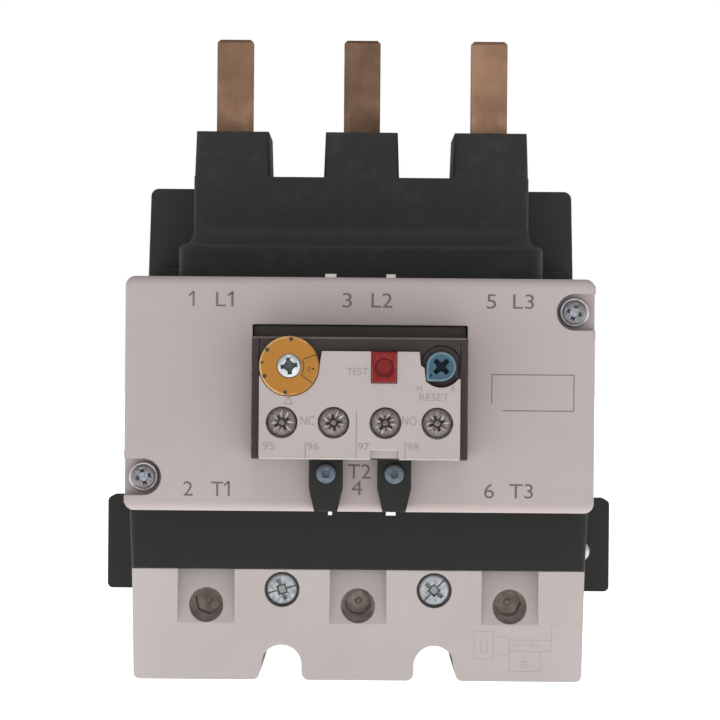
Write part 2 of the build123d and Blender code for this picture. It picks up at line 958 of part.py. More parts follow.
# Case of the trip module
with BuildPart() as module_case:
    add_panel(
        -module_half, module_half, module_low, module_top, deck_depth, module_rim, case_corner
    )
    add_panel(
        -module_half, module_half, module_top - 2 * case_corner, module_hump_top, deck_depth,
        module_hump_depth, case_corner,
    )
    add_panel(
        -case_half, case_half, case_floor, case_roof, case_back, module_rim, mode=Mode.SUBTRACT
    )
    add_panel(
        -case_half, case_half, case_roof - 1, hump_roof, case_back,
        module_hump_depth - module_roof, mode=Mode.SUBTRACT,
    )
    bezel_room = plate_half + bezel_play
    add_panel(
        -bezel_room, bezel_room, module_low + bezel_margin, module_top,
        module_rim - bezel_thick, module_rim, mode=Mode.SUBTRACT,
    )
    # Post of the compensation lever, walls between the auxiliary terminals
    add_disc(lever_x, lever_height, lever_hub, deck_depth, cam_back - seat_gap)
    add_disc(
        lever_x, lever_height, lever_pin + fit / 2, cam_back - lever_pin_length, cam_back,
        mode=Mode.SUBTRACT,
    )
    for x in (-aux_pitch, 0, aux_pitch):
        add_panel(
            x - aux_wall_width / 2, x + aux_wall_width / 2, case_floor - 1,
            aux_height + aux_wall_rise, strip_front - aux_wall_behind,
            module_rim - plate_lip - plate_play,
        )
    # Wire entries below the auxiliary terminals
    for x in aux_places:
        add_panel(
            x - aux_entry_half, x + aux_entry_half, module_low, case_floor,
            strip_front + aux_entry_behind, strip_front + aux_entry_behind + aux_entry_long,
            mode=Mode.SUBTRACT,
        )
    # Room for the knob, and the window for the rocker's tail
    add_panel(
        case_half - 1, case_half + knob_room, well_low, case_roof, well_back, module_rim,
        mode=Mode.SUBTRACT,
    )
    add_panel(
        window_left, window_right, tail_low - window_gap, tail_high + window_gap, deck_depth,
        case_back, mode=Mode.SUBTRACT,
    )
save(module_case, "module_case")

# Bezel that closes the case and holds the dial, the test button and the reset well
with BuildPart() as module_bezel:
    bezel_half = plate_half - bezel_play
    add_panel(
        -bezel_half, bezel_half, module_low + bezel_margin + bezel_play, module_top,
        module_rim - bezel_thick, module_rim,
    )
    lip_half = case_half - plate_play
    lip_low = case_floor + plate_play
    lip_high = case_roof - plate_play
    add_panel(-lip_half, lip_half, lip_low, lip_high, module_rim - plate_lip, module_rim)
    add_disc(
        dial_x, dial_height, dial_shaft + thin_wall, module_rim - dial_boss,
        module_rim - plate_lip,
    )
    add_panel(
        reset_x - well_radius - well_wall, lip_half, well_low + plate_play, lip_high, well_back,
        module_rim - plate_lip,
    )
    # Bores of the dial shaft, the test button and the reset plunger
    add_disc(
        dial_x, dial_height, dial_shaft + fit, module_rim - dial_boss, module_rim,
        mode=Mode.SUBTRACT,
    )
    add_panel(
        test_x - test_width / 2 - fit, test_x + test_width / 2 + fit,
        test_height - test_tall / 2 - fit, test_height + test_tall / 2 + fit,
        module_rim - plate_lip, module_rim, mode=Mode.SUBTRACT,
    )
    add_disc(reset_x, reset_height, well_radius, well_floor, module_rim, Mode.SUBTRACT)
    add_disc(reset_x, reset_height, clear_of_bore, well_back, well_floor, mode=Mode.SUBTRACT)
    for x in aux_places:
        add_disc(
            x, aux_height, aux_hole, module_rim - plate_lip, module_rim, mode=Mode.SUBTRACT
        )
save(module_bezel, "module_bezel")

# Front plate of the trip module
with BuildPart() as module_plate:
    add_panel(
        -plate_half, plate_half, module_low, plate_face_top, module_rim, module_face,
        plate_corner,
    )
    dial_room = dial_radius + seat_gap
    add_disc(dial_x, dial_height, dial_room, module_rim, module_face, Mode.SUBTRACT)
    past_edge = plate_half + thin_wall
    dial_corner = [(-past_edge, dial_height - dial_notch_low)]
    dial_corner += [(dial_x + x, dial_height + rise) for x, rise in dial_notch]
    dial_corner.append((-past_edge, plate_face_top))
    extrude(
        shape(dial_corner, module_rim), amount=module_face - module_rim, mode=Mode.SUBTRACT
    )
    add_panel(
        test_x - test_width / 2 - seat_gap, test_x + test_width / 2 + seat_gap,
        test_height - test_tall / 2 - seat_gap, plate_face_top, module_rim, module_face,
        mode=Mode.SUBTRACT,
    )
    knob_corner_cut = [(reset_x + x, reset_height + rise) for x, rise in knob_notch]
    knob_corner_cut.append((plate_half, plate_face_top))
    extrude(
        shape(knob_corner_cut, module_rim), amount=module_face - module_rim, mode=Mode.SUBTRACT
    )
    # Room for the corner of the knob as it turns
    with BuildSketch(facing(module_rim)) as knob_sweep:
        with Locations((reset_x, reset_height)):
            Circle(well_radius)
        with Locations((reset_x + knob_notch[3][0] + well_radius, reset_height - well_radius)):
            Rectangle(2 * well_radius, 2 * well_radius, mode=Mode.INTERSECT)
    extrude(knob_sweep.sketch, amount=module_face - module_rim, mode=Mode.SUBTRACT)
    for x in aux_places:
        add_disc(x, aux_height, aux_hole, module_rim, module_face, mode=Mode.SUBTRACT)
    add_panel(
        latch_left, latch_right, module_low, module_low + latch_tall,
        module_face - latch_depth, module_face, mode=Mode.SUBTRACT,
    )
    add_panel(
        latch_left, latch_right, module_low, module_low + latch_sill, module_rim, module_face,
        mode=Mode.SUBTRACT,
    )
save(module_plate, "module_front_plate")


def polar(x, height, radius, angle):
    """Point of the front view at an angle in degrees from a centre."""
    return (x + radius * cos(radians(angle)), height + radius * sin(radians(angle)))


# Setting dial with the shaft and the spiral cam that it turns
with BuildPart() as setting_dial:
    add_disc(dial_x, dial_height, dial_radius, dial_back, dial_front)
    rim_edges = setting_dial.faces().sort_by(Axis.Y)[0].edges()
    chamfer(rim_edges, dial_edge)
    add_disc(dial_x, dial_height, dial_shaft, cam_front, dial_back)
    cam_points = []
    cam_steps = 8
    for step in range(cam_steps + 1):
        angle = dial_travel * step / cam_steps
        cam_points.append(
            polar(dial_x, dial_height, cam_small + cam_rise * step / cam_steps, -angle)
        )
    with BuildSketch(facing(cam_back)) as cam:
        with BuildLine():
            Spline(*cam_points)
            heel = polar(dial_x, dial_height, cam_small, 150)
            Line(cam_points[-1], heel)
            ThreePointArc(heel, polar(dial_x, dial_height, cam_small, 75), cam_points[0])
        make_face()
    extrude(cam.sketch, amount=cam_front - cam_back)
    add_disc(
        dial_x, dial_height, dial_screw_head + fit, dial_front - dial_recess, dial_front,
        mode=Mode.SUBTRACT,
    )
save(setting_dial, "setting_dial")

with BuildPart() as dial_screw:
    add_disc(
        dial_x, dial_height, dial_screw_head, dial_front - dial_recess,
        dial_front + dial_recess / 4,
    )
    fillet(dial_screw.faces().sort_by(Axis.Y)[0].edges(), dial_edge)
save(dial_screw, "dial_screw")

# Compensation lever, which the cam tilts
lever_reach = dial_x + cam_small + contact_gap
with BuildPart() as compensation_lever:
    add_disc(lever_x, lever_height, lever_hub, cam_back, cam_front)
    add_panel(
        lever_x - lever_width / 2, lever_x + lever_width / 2, lever_height, lever_top, cam_back,
        cam_front,
    )
    add_panel(
        lever_reach, lever_x, dial_height - lever_finger, dial_height + lever_finger, cam_back,
        cam_front,
    )
    add_disc(
        lever_x, lever_height, lever_pin + fit, cam_back, cam_front, mode=Mode.SUBTRACT
    )
save(compensation_lever, "compensation_lever")

# Test button
with BuildPart() as test_button:
    add_panel(
        test_x - test_width / 2, test_x + test_width / 2, test_height - test_tall / 2,
        test_height + test_tall / 2, test_back, test_front,
    )
    fillet(test_button.faces().sort_by(Axis.Y)[0].edges(), 0.35)
    stem_end = rocker_depth + rocker_arm / 2 + test_stop + test_travel
    add_panel(
        test_x - test_stem / 2, test_x + test_stem / 2, test_height - test_stem / 2,
        test_height + test_stem / 2, stem_end, test_back,
    )
    add_disc(
        test_x, test_height, test_dish, test_front - test_dish_depth, test_front,
        mode=Mode.SUBTRACT,
    )
save(test_button, "test_button")

# Reset plunger with its knob
with BuildPart() as reset_plunger:
    add_disc(reset_x, reset_height, plunger_radius, plunger_back, reset_back)
    with BuildSketch(level(reset_height - wedge_half)) as reset_wedge:
        wedge_top = -plunger_back - wedge_length
        Polygon(
            (reset_x, wedge_top),
            (reset_x - wedge_reach / 2, wedge_top),
            (reset_x - wedge_reach, -plunger_back - wedge_flat),
            (reset_x - wedge_reach, -plunger_back),
            (reset_x, -plunger_back),
            align=None,
        )
    extrude(reset_wedge.sketch, amount=2 * wedge_half)
save(reset_plunger, "reset_plunger")

with BuildPart() as reset_knob:
    with BuildSketch(facing(reset_back)) as teardrop:
        with Locations((reset_x, reset_height)):
            Circle(reset_radius)
        with Locations((reset_x - reset_radius / 2, reset_height - reset_radius / 2)):
            Rectangle(reset_radius, reset_radius)
        pointer_tip = teardrop.vertices().sort_by(Axis.X)[:2].sort_by(Axis.Z)[0]
        fillet(pointer_tip, knob_corner)
    extrude(teardrop.sketch, amount=reset_front - reset_back)
    chamfer(reset_knob.faces().sort_by(Axis.Y)[0].edges(), 0.25)
    with BuildSketch(facing(reset_front)) as cross:
        with Locations((reset_x, reset_height)):
            Rectangle(knob_cross, knob_cross / 4)
            Rectangle(knob_cross / 4, knob_cross)
    extrude(cross.sketch, amount=-reset_thick / 2, mode=Mode.SUBTRACT)
save(reset_knob, "reset_knob")

# Trip slide and differential slide, which the bimetals push
with BuildPart() as trip_slide:
    slide_back = slide_front - slide_thickness
    add_panel(slide_left, slide_right, slide_low, slide_high, slide_back, slide_front, slide_corner)
    for x in pin_places:
        add_disc(x - finger_offset, finger_height, finger_radius, finger_back, slide_back)
    add_panel(-arm_half, arm_half, arm_low, slide_low + arm_lap, slide_back, slide_front)
    add_panel(
        -arm_half, arm_half, arm_low, arm_high, slide_front - arm_lap,
        drive_depth + drive_radius + window_gap,
    )
    add_post(0, drive_depth, drive_radius, arm_high - arm_lap, contact_height + drive_end)
save(trip_slide, "trip_slide")

with BuildPart() as differential_slide:
    far_front = slide_front - slide_thickness - slide_space
    far_back = far_front - slide_thickness
    add_panel(slide_left, slide_right, slide_low, slide_high, far_back, far_front, slide_corner)
    for x in pin_places:
        add_disc(x + finger_offset, finger_height, finger_radius, finger_back, far_back)
        add_disc(
            x - finger_offset, finger_height, finger_radius + finger_play, far_back,
            far_front, mode=Mode.SUBTRACT,
        )
save(differential_slide, "differential_slide")

# Contact rocker: arms, tail with its fork, lugs for the test button and the reset wedge
arm_back = rocker_depth - rocker_arm / 2
arm_front = rocker_depth + rocker_arm / 2
with BuildPart() as contact_rocker:
    add_panel(-rocker_half, rocker_half, rocker_low, rocker_high, arm_back, arm_front)
    add_post(0, rocker_depth, rocker_hub, rocker_low, rocker_high)
    tail_end = drive_depth + fork_end
    fork_back = drive_depth - fork_heel
    add_panel(
        -rocker_tail / 2, rocker_tail / 2, tail_low, tail_high, tail_end - prong / 2,
        rocker_depth,
    )
    slot_half = drive_radius + drive_slot
    add_panel(-slot_half - prong, slot_half + prong, tail_low, tail_high, fork_back, tail_end)
    add_panel(
        -slot_half, slot_half, tail_low, tail_high, fork_back, tail_end - prong,
        mode=Mode.SUBTRACT,
    )
    add_panel(
        test_x - lug_half, test_x + lug_half, rocker_high - lug_half, test_height + lug_rise,
        arm_back, arm_front,
    )
    add_panel(
        lug_right - lug_width, lug_right, rocker_high - lug_half, reset_height + lug_rise,
        arm_back, rocker_depth + lug_length,
    )
    add_post(0, rocker_depth, rocker_pin + fit, rocker_low, rocker_high, mode=Mode.SUBTRACT)
save(contact_rocker, "contact_rocker")

bridge_back = arm_back - bridge_thickness
with BuildPart() as contact_bridges:
    for side in (-1, 1):
        left, right = sorted((side * bridge_inner, side * rocker_half))
        add_panel(
            left, right, contact_height - bridge_tall / 2, contact_height + bridge_tall / 2,
            bridge_back, arm_back,
        )
save(contact_bridges, "contact_bridges")

with BuildPart() as pivot_pins:
    add_post(0, rocker_depth, rocker_pin, case_floor, hump_roof)
    add_disc(
        lever_x, lever_height, lever_pin, cam_back - lever_pin_length, cam_front + lever_pin / 2
    )
save(pivot_pins, "pivot_pins")

# Auxiliary terminals: fixed contact strip, clamp and screw
aux_names = ("95", "96", "97", "98")
for name, x in zip(aux_names, aux_places):
    swing = max(0, x + strip_width / 2) * tan(trip_angle)
    riser_front = bridge_back - contact_gap - swing - rivet_height
    riser_middle = riser_front - strip_thickness / 2
    leg_middle = case_floor + strip_thickness / 2
    pad_middle = strip_front - strip_thickness / 2
    with BuildPart() as contact_strip:
        bent_strip(
            (
                (pad_middle, aux_height + strip_pad_half),
                (pad_middle, leg_middle),
                (riser_middle, leg_middle),
                (riser_middle, contact_height + strip_end),
            ),
            x, strip_width, strip_thickness, strip_bend,
        )
        add_panel(
            x - strip_pad_width / 2, x + strip_pad_width / 2, aux_height - strip_pad_half,
            aux_height + strip_pad_half, strip_front - strip_thickness, strip_front,
        )
        add_disc(x, contact_height, rivet_radius, riser_front, riser_front + rivet_height)
        add_disc(
            x, aux_height, aux_shank + 2 * fit, strip_front - strip_thickness, strip_front,
            mode=Mode.SUBTRACT,
        )
    save(contact_strip, f"contact_strip_{name}")

    with BuildPart() as aux_clamp:
        half_clamp = aux_clamp_side / 2
        add_panel(
            x - half_clamp, x + half_clamp, aux_height - half_clamp, aux_height + half_clamp,
            aux_clamp_back, aux_clamp_front, aux_clamp_corner,
        )
        add_disc(
            x, aux_height, aux_shank + fit, aux_clamp_back, aux_clamp_front, mode=Mode.SUBTRACT
        )
    save(aux_clamp, f"aux_clamp_{name}")

    with BuildPart() as aux_screw:
        add_disc(x, aux_height, aux_head, aux_head_back, aux_head_front)
        fillet(aux_screw.faces().sort_by(Axis.Y)[0].edges(), 0.5)
        add_disc(x, aux_height, aux_shank, aux_tip, aux_head_back)
        with BuildSketch(facing(aux_head_front)) as screw_recess:
            with Locations((x, aux_height)):
                Rectangle(aux_slot, aux_slot_width)
                Rectangle(aux_slot_width, aux_cross)
        extrude(screw_recess.sketch, amount=-aux_slot_depth, mode=Mode.SUBTRACT)
    save(aux_screw, f"aux_screw_{name}")

# Clips that hold the module down on the front cover
clip_names = ("left_clip", "right_clip")
for name, x in zip(clip_names, clip_places):
    with BuildPart() as clip:
        with BuildSketch(facing(front_depth)) as clip_outline:
            Polygon(
                (x - clip_width / 2, module_low),
                (x - clip_width / 2, clip_taper_height),
                (x - clip_tip_width / 2, clip_low),
                (x + clip_tip_width / 2, clip_low),
                (x + clip_width / 2, clip_taper_height),
                (x + clip_width / 2, module_low),
                align=None,
            )
        extrude(clip_outline.sketch, amount=clip_thickness)
        add_disc(
            x, clip_screw_height, clip_screw_shank + fit, front_depth,
            front_depth + clip_thickness, mode=Mode.SUBTRACT,
        )
    save(clip, name)


def screw(x, height, head, shank, floor, front, tip, recess):
    """Pan head screw with a cross recess, added to the part in hand."""
    add_disc(x, height, head, floor, front)
    add_disc(x, height, shank, tip, floor)
    with BuildSketch(facing(front)) as cross_recess:
        with Locations((x, height)):
            Rectangle(recess, recess / 4)
            Rectangle(recess / 4, recess)
    extrude(cross_recess.sketch, amount=-(front - floor) * 0.6, mode=Mode.SUBTRACT)


with BuildPart() as clip_screws:
    for x in clip_places:
        clip_front = front_depth + clip_thickness
        screw(
            x, clip_screw_height, clip_screw_head, clip_screw_shank, clip_front,
            clip_front + 0.6 * clip_screw_head, front_depth, 1.1 * clip_screw_head,
        )
save(clip_screws, "clip_screws")

with BuildPart() as front_cover_screws:
    for x, height in front_screw_places:
        screw(
            x, height, front_screw_head, front_screw_shank, pocket_floor, front_screw_front,
            front_screw_tip, front_screw_cross,
        )
save(front_cover_screws, "front_cover_screws")

with BuildPart() as terminal_cover_screws:
    for x in (-cover_screw_x, cover_screw_x):
        screw(
            x, cover_screw_height, cover_screw_head, cover_screw_shank, cover_screw_floor,
            cover_screw_front, cover_screw_tip, cover_screw_cross,
        )
save(terminal_cover_screws, "terminal_cover_screws")

with BuildPart() as ear_screw:
    add_disc(
        ear_screw_x, ear_screw_height, ear_screw_head, ear_depth, ear_depth + ear_screw_dome
    )
    fillet(ear_screw.faces().sort_by(Axis.Y)[0].edges(), 0.65 * ear_screw_dome)
    add_disc(ear_screw_x, ear_screw_height, cover_screw_shank - fit, ear_wall, ear_depth)
save(ear_screw, "ear_screw")
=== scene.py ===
# %% [markdown]
# # A three-pole thermal overload relay
#
# The relay hangs under a large contactor. Its three copper pins go up into the contactor, the
# motor cables go into the bottom, and the small module in the middle trips when a motor draws
# too much current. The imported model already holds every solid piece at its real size. This
# notebook gives each of them its finish, and models what is too fine for the solids: screw
# drives, threads, printing, and the light and camera of a product photograph.
#
# All sizes below are in millimetres, measured as the part's source measures them: to the right
# of the middle, above the foot, and in front of the rear face.

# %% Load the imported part
import json
import math
import random

import bmesh
import bpy
from mathutils import Matrix, Vector


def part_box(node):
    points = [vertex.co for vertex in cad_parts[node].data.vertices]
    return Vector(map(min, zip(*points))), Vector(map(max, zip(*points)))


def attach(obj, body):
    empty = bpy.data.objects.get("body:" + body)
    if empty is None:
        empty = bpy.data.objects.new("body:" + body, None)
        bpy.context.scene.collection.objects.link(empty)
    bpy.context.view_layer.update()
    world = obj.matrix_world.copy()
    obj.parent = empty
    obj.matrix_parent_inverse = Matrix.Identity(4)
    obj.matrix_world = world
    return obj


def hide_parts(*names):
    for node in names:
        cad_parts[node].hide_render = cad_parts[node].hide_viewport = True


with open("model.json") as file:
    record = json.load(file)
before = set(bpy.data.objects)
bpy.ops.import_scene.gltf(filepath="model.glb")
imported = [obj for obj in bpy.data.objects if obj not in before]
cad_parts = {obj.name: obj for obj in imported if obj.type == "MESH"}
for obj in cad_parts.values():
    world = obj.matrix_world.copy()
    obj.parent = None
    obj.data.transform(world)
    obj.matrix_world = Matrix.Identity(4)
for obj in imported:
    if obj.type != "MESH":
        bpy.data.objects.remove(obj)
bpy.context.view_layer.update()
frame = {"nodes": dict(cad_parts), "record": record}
nodes = frame["nodes"]

# %% [markdown]
# A few helpers turn the part's own measures into points of the frame. `at` is used everywhere
# below, so a piece is placed by the same numbers that someone with the real relay and a ruler
# would read.

# %% Measures and small helpers
mm = 0.001
foot = 26.35
scene = bpy.context.scene


def at(x, height, depth):
    """Point of the frame, from millimetres right, above the foot and in front of the rear."""
    return Vector((x, -depth, height - foot)) * mm


def middle(node):
    """Centre of a node in millimetres: x, height and depth."""
    low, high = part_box(node)
    centre = (low + high) / 2 / mm
    return centre.x, centre.z + foot, -centre.y


# Turns a piece built round the Z axis so that it points at the viewer
to_front = Matrix(((1, 0, 0, 0), (0, 0, -1, 0), (0, 1, 0, 0), (0, 0, 0, 1)))
print("dial centre in mm:", [round(value, 2) for value in middle("dial_screw")])

# %% [markdown]
# ## Shared effects
#
# Moulded plastic is never one flat colour. The tool that shaped it was spark-eroded, so the
# skin has a fine grain, the flow of the melt leaves slow changes of tone, and handling polishes
# or bleaches the edges, which are also painted lighter as the highlights that they catch. Each
# effect is a node group with its own inputs, made once and placed in every material that shows
# it. All of them read object coordinates, which are metres here, so a scale of 1000 means one
# feature per millimetre.

# %% Node helpers


def linear(colour):
    """8-bit screen colour as linear light with full alpha."""
    channels = [value / 255 for value in colour]
    light = [c / 12.92 if c <= 0.04045 else ((c + 0.055) / 1.055) ** 2.4 for c in channels]
    return (*light, 1.0)


def feed(tree, socket, value):
    """Gives a socket a number, an 8-bit colour, or a link to another socket."""
    if isinstance(value, tuple):
        socket.default_value = linear(value)
    elif isinstance(value, (int, float)):
        socket.default_value = value
    else:
        tree.links.new(value, socket)


def new_group(name, inputs, outputs):
    """Shader node group with float inputs and outputs, and the sockets at its two ends."""
    group = bpy.data.node_groups.new(name, "ShaderNodeTree")
    for label, value in inputs:
        socket = group.interface.new_socket(label, in_out="INPUT", socket_type="NodeSocketFloat")
        socket.default_value = value
    for label in outputs:
        group.interface.new_socket(label, in_out="OUTPUT", socket_type="NodeSocketFloat")
    given = group.nodes.new("NodeGroupInput").outputs
    return group, given, group.nodes.new("NodeGroupOutput").inputs


def add_node(tree, kind, inputs=None, **settings):
    """New node with its plain settings, such as operation, and with its inputs fed."""
    node = tree.nodes.new(kind)
    for key, value in settings.items():
        setattr(node, key, value)
    for key, value in (inputs or {}).items():
        feed(tree, node.inputs[key], value)
    return node


def maths(tree, operation, first, second):
    """Result of a math node of two values or sockets."""
    return add_node(tree, "ShaderNodeMath", {0: first, 1: second}, operation=operation).outputs[0]


def ramp(tree, value, low, high):
    """Maps a value from the stretch low..high to 0..1, clamped."""
    limits = {"Value": value, "From Min": low, "From Max": high}
    return add_node(tree, "ShaderNodeMapRange", limits, clamp=True).outputs["Result"]


def own_place(tree):
    """Object coordinates of the point that is shaded."""
    return add_node(tree, "ShaderNodeTexCoord").outputs["Object"]


def noise(tree, coordinates, scale, detail=2.0, roughness=0.5):
    """Value of a noise texture at a scale, which is a number or a socket."""
    inputs = {"Vector": coordinates, "Scale": scale, "Detail": detail, "Roughness": roughness}
    return add_node(tree, "ShaderNodeTexNoise", inputs).outputs["Fac"]


print("node helpers ready")

# %% [markdown]
# **Mould skin.** Two noises, one fine and one about three times coarser, are added as a height
# for a Bump node. A third, very slow noise gives the change of tone that keeps a large flat
# cover from looking like paper.

# %% Group: mould skin
mould_skin, given, result = new_group(
    "mould_skin", [("Grain Scale", 9000.0), ("Tone Scale", 45.0)], ["Height", "Tone"]
)
place = own_place(mould_skin)
fine = noise(mould_skin, place, given["Grain Scale"], 3.0, 0.6)
coarse = noise(mould_skin, place, maths(mould_skin, "MULTIPLY", given["Grain Scale"], 0.3))
height = maths(mould_skin, "ADD", fine, maths(mould_skin, "MULTIPLY", coarse, 0.6))
tone = noise(mould_skin, place, given["Tone Scale"], 4.0, 0.55)
feed(mould_skin, result["Height"], height)
feed(mould_skin, result["Tone"], ramp(mould_skin, tone, 0.3, 0.7))
print(mould_skin.name, "has", len(mould_skin.nodes), "nodes")

# %% [markdown]
# ** Worn and highlit edges.** The Bevel node gives the normal that a rounded edge would have.
# Where it differs from the true normal there is an edge, and a noise breaks it up so that the
# wear comes and goes along it. The edges that it finds are painted lighter for wear and also as
# the painted highlights that rounded edges catch.

# %% Group: worn and highlit edges
worn_and_highlit_edges, given, result = new_group(
    "worn_and_highlit_edges", [("Radius", 0.0003), ("Break-up Scale", 600.0)], ["Mask"]
)
bevel = add_node(worn_and_highlit_edges, "ShaderNodeBevel", {"Radius": given["Radius"]}, samples=4)
facing = add_node(worn_and_highlit_edges, "ShaderNodeNewGeometry")
likeness = add_node(
    worn_and_highlit_edges, "ShaderNodeVectorMath",
    {0: bevel.outputs["Normal"], 1: facing.outputs["Normal"]}, operation="DOT_PRODUCT",
)
edge = ramp(worn_and_highlit_edges, maths(worn_and_highlit_edges, "SUBTRACT", 1.0, likeness.outputs["Value"]), 0.02, 0.2)
patches = noise(worn_and_highlit_edges, own_place(worn_and_highlit_edges), given["Break-up Scale"], 3.0, 0.65)
broken = maths(worn_and_highlit_edges, "MULTIPLY", edge, ramp(worn_and_highlit_edges, patches, 0.42, 0.62))
feed(worn_and_highlit_edges, result["Mask"], broken)
print(worn_and_highlit_edges.name, "has", len(worn_and_highlit_edges.nodes), "nodes")

# %% [markdown]
# **Dust and smears.** A relay that has hung in a cabinet has a thin film that gathers on faces
# that look up, and faint smears elsewhere. The group puts out a mask only; the material decides
# how much lighter and rougher it makes the skin.

# %% Group: dust film
dust_film, given, result = new_group(
    "dust_film", [("Patch Scale", 160.0), ("Lie On Top", 0.5)], ["Mask"]
)
facing = add_node(dust_film, "ShaderNodeNewGeometry")
split = add_node(dust_film, "ShaderNodeSeparateXYZ", {0: facing.outputs["Normal"]})
upward = ramp(dust_film, split.outputs["Z"], 0.2, 1.0)
patches = noise(dust_film, own_place(dust_film), given["Patch Scale"], 5.0, 0.7)
smears = ramp(dust_film, patches, 0.5, 0.75)
settled = maths(dust_film, "MULTIPLY", upward, given["Lie On Top"])
film = maths(dust_film, "MAXIMUM", maths(dust_film, "MULTIPLY", smears, 0.45), settled)
feed(dust_film, result["Mask"], film)
print(dust_film.name, "has", len(dust_film.nodes), "nodes")

# %% [markdown]
# **Metal marks.** Drawn copper has long scratches along its length, and zinc plating has blotchy
# spangles. One group serves both: it stretches a noise along the height by the given amount.

# %% Group: metal marks
metal_marks, given, result = new_group(
    "metal_marks", [("Scale", 2500.0), ("Stretch Z", 1.0), ("Blotch Scale", 300.0)],
    ["Scratches", "Blotches"],
)
place = own_place(metal_marks)
stretch = add_node(
    metal_marks, "ShaderNodeCombineXYZ", {"X": 1.0, "Y": 1.0, "Z": given["Stretch Z"]}
)
stretched = add_node(
    metal_marks, "ShaderNodeVectorMath", {0: place, 1: stretch.outputs[0]}, operation="MULTIPLY"
)
scratches = noise(metal_marks, stretched.outputs[0], given["Scale"], 4.0, 0.65)
blotches = noise(metal_marks, place, given["Blotch Scale"], 5.0, 0.6)
feed(metal_marks, result["Scratches"], scratches)
feed(metal_marks, result["Blotches"], ramp(metal_marks, blotches, 0.35, 0.65))
print(metal_marks.name, "has", len(metal_marks.nodes), "nodes")

# %% [markdown]
# ## Materials
#
# Each material places the shared groups with its own values and keeps its own Principled
# shader. Colours are written as the 8-bit values that the photograph shows on a lit face, and
# turned into linear light when they are fed to a socket.

# %% Building blocks of a material


def start_material(name, roughness, metallic=0.0):
    """New material with its tree and Principled shader, set to plain values."""
    material = bpy.data.materials.new(name)
    material.use_nodes = True
    tree = material.node_tree
    shader = tree.nodes["Principled BSDF"]
    shader.inputs["Roughness"].default_value = roughness
    shader.inputs["Metallic"].default_value = metallic
    return material, tree, shader


def place_group(tree, group, values=None):
    """Sockets that a shared effect puts out, with this material's values."""
    return add_node(tree, "ShaderNodeGroup", values, node_tree=group).outputs


def blend_colour(tree, factor, first, second, amount=1.0):
    """Mix of two colours or sockets by a mask; returns the colour socket."""
    if amount != 1.0:
        factor = maths(tree, "MULTIPLY", factor, amount)
    mix = add_node(tree, "ShaderNodeMix", {"Factor": factor}, data_type="RGBA")
    colours = [socket for socket in mix.inputs if socket.type == "RGBA"]
    feed(tree, colours[0], first)
    feed(tree, colours[1], second)
    return [socket for socket in mix.outputs if socket.type == "RGBA"][0]


def bump(tree, shader, height, distance, strength, edge_radius=0.0):
    """Bump on the shader's normal, on top of edges rounded to a radius."""
    inputs = {"Strength": strength, "Distance": distance, "Height": height}
    if edge_radius:
        bevel = add_node(tree, "ShaderNodeBevel", {"Radius": edge_radius}, samples=4)
        inputs["Normal"] = bevel.outputs["Normal"]
    node = add_node(tree, "ShaderNodeBump", inputs)
    feed(tree, shader.inputs["Normal"], node.outputs["Normal"])


dust_colour = (205, 200, 194)


def moulded(name, colour, shade, worn_lit_colour, roughness, edge, wear_and_highlight, dust, gloss, grain=9000.0,
            depth=0.00001):
    """Moulded plastic: its colour, the shade it drifts to, and the colour of worn, highlit edges.
    """
    material, tree, shader = start_material(name, roughness)
    shader.inputs["Specular IOR Level"].default_value = gloss
    skin = place_group(tree, mould_skin, {"Grain Scale": grain})
    edges = place_group(tree, worn_and_highlit_edges, {"Radius": edge})
    film = place_group(tree, dust_film)
    body = blend_colour(tree, skin["Tone"], colour, shade)
    # Edges are painted lighter for wear and as painted highlights
    rubbed_and_highlit = blend_colour(tree, edges["Mask"], body, worn_lit_colour, wear_and_highlight)
    dusty = blend_colour(tree, film["Mask"], rubbed_and_highlit, dust_colour, dust)
    feed(tree, shader.inputs["Base Color"], dusty)
    polish = maths(tree, "MULTIPLY", edges["Mask"], -0.12)
    matt = maths(tree, "MULTIPLY", film["Mask"], 0.25)
    spread = maths(tree, "ADD", maths(tree, "MULTIPLY", skin["Tone"], 0.08), roughness)
    rough = maths(tree, "ADD", maths(tree, "ADD", spread, polish), matt)
    feed(tree, shader.inputs["Roughness"], rough)
    bump(tree, shader, skin["Height"], depth, 0.6, edge)
    return material


def metal(name, colour, stain, roughness, blotch=300.0, staining=0.6, metallic=1.0,
          bright=(225, 225, 226), rub_and_highlight=0.5, edge=0.0002, scale=2500.0, along_z=1.0,
          depth=0.000006, streaking=0.35):
    """Worn metal: its clean colour, the stain that lies in blotches, and scratches."""
    material, tree, shader = start_material(name, roughness, metallic)
    marks = place_group(
        tree, metal_marks, {"Scale": scale, "Stretch Z": along_z, "Blotch Scale": blotch}
    )
    edges = place_group(tree, worn_and_highlit_edges, {"Radius": edge})
    stained = blend_colour(tree, marks["Blotches"], colour, stain, staining)
    streaks = ramp(tree, marks["Scratches"], 0.4, 0.7)
    streaked = blend_colour(tree, streaks, stained, colour, streaking)
    # Edges are painted lighter for rubbing and as painted highlights
    rubbed_and_highlit = blend_colour(tree, edges["Mask"], streaked, bright, rub_and_highlight)
    feed(tree, shader.inputs["Base Color"], rubbed_and_highlit)
    dull = maths(tree, "ADD", maths(tree, "MULTIPLY", marks["Blotches"], 0.18), roughness)
    rough = maths(tree, "ADD", maths(tree, "MULTIPLY", streaks, 0.12), dull)
    feed(tree, shader.inputs["Roughness"], rough)
    bump(tree, shader, marks["Scratches"], depth, 0.7, edge)
    return material


def two_tone(name, first, second, roughness, grain, depth, strength, tone_scale=45.0):
    """Plain skin that drifts between two colours, for ink, raised marks and paper."""
    material, tree, shader = start_material(name, roughness)
    skin = place_group(tree, mould_skin, {"Grain Scale": grain, "Tone Scale": tone_scale})
    feed(tree, shader.inputs["Base Color"], blend_colour(tree, skin["Tone"], first, second))
    bump(tree, shader, skin["Height"], depth, strength)
    return material


print("material builders ready")
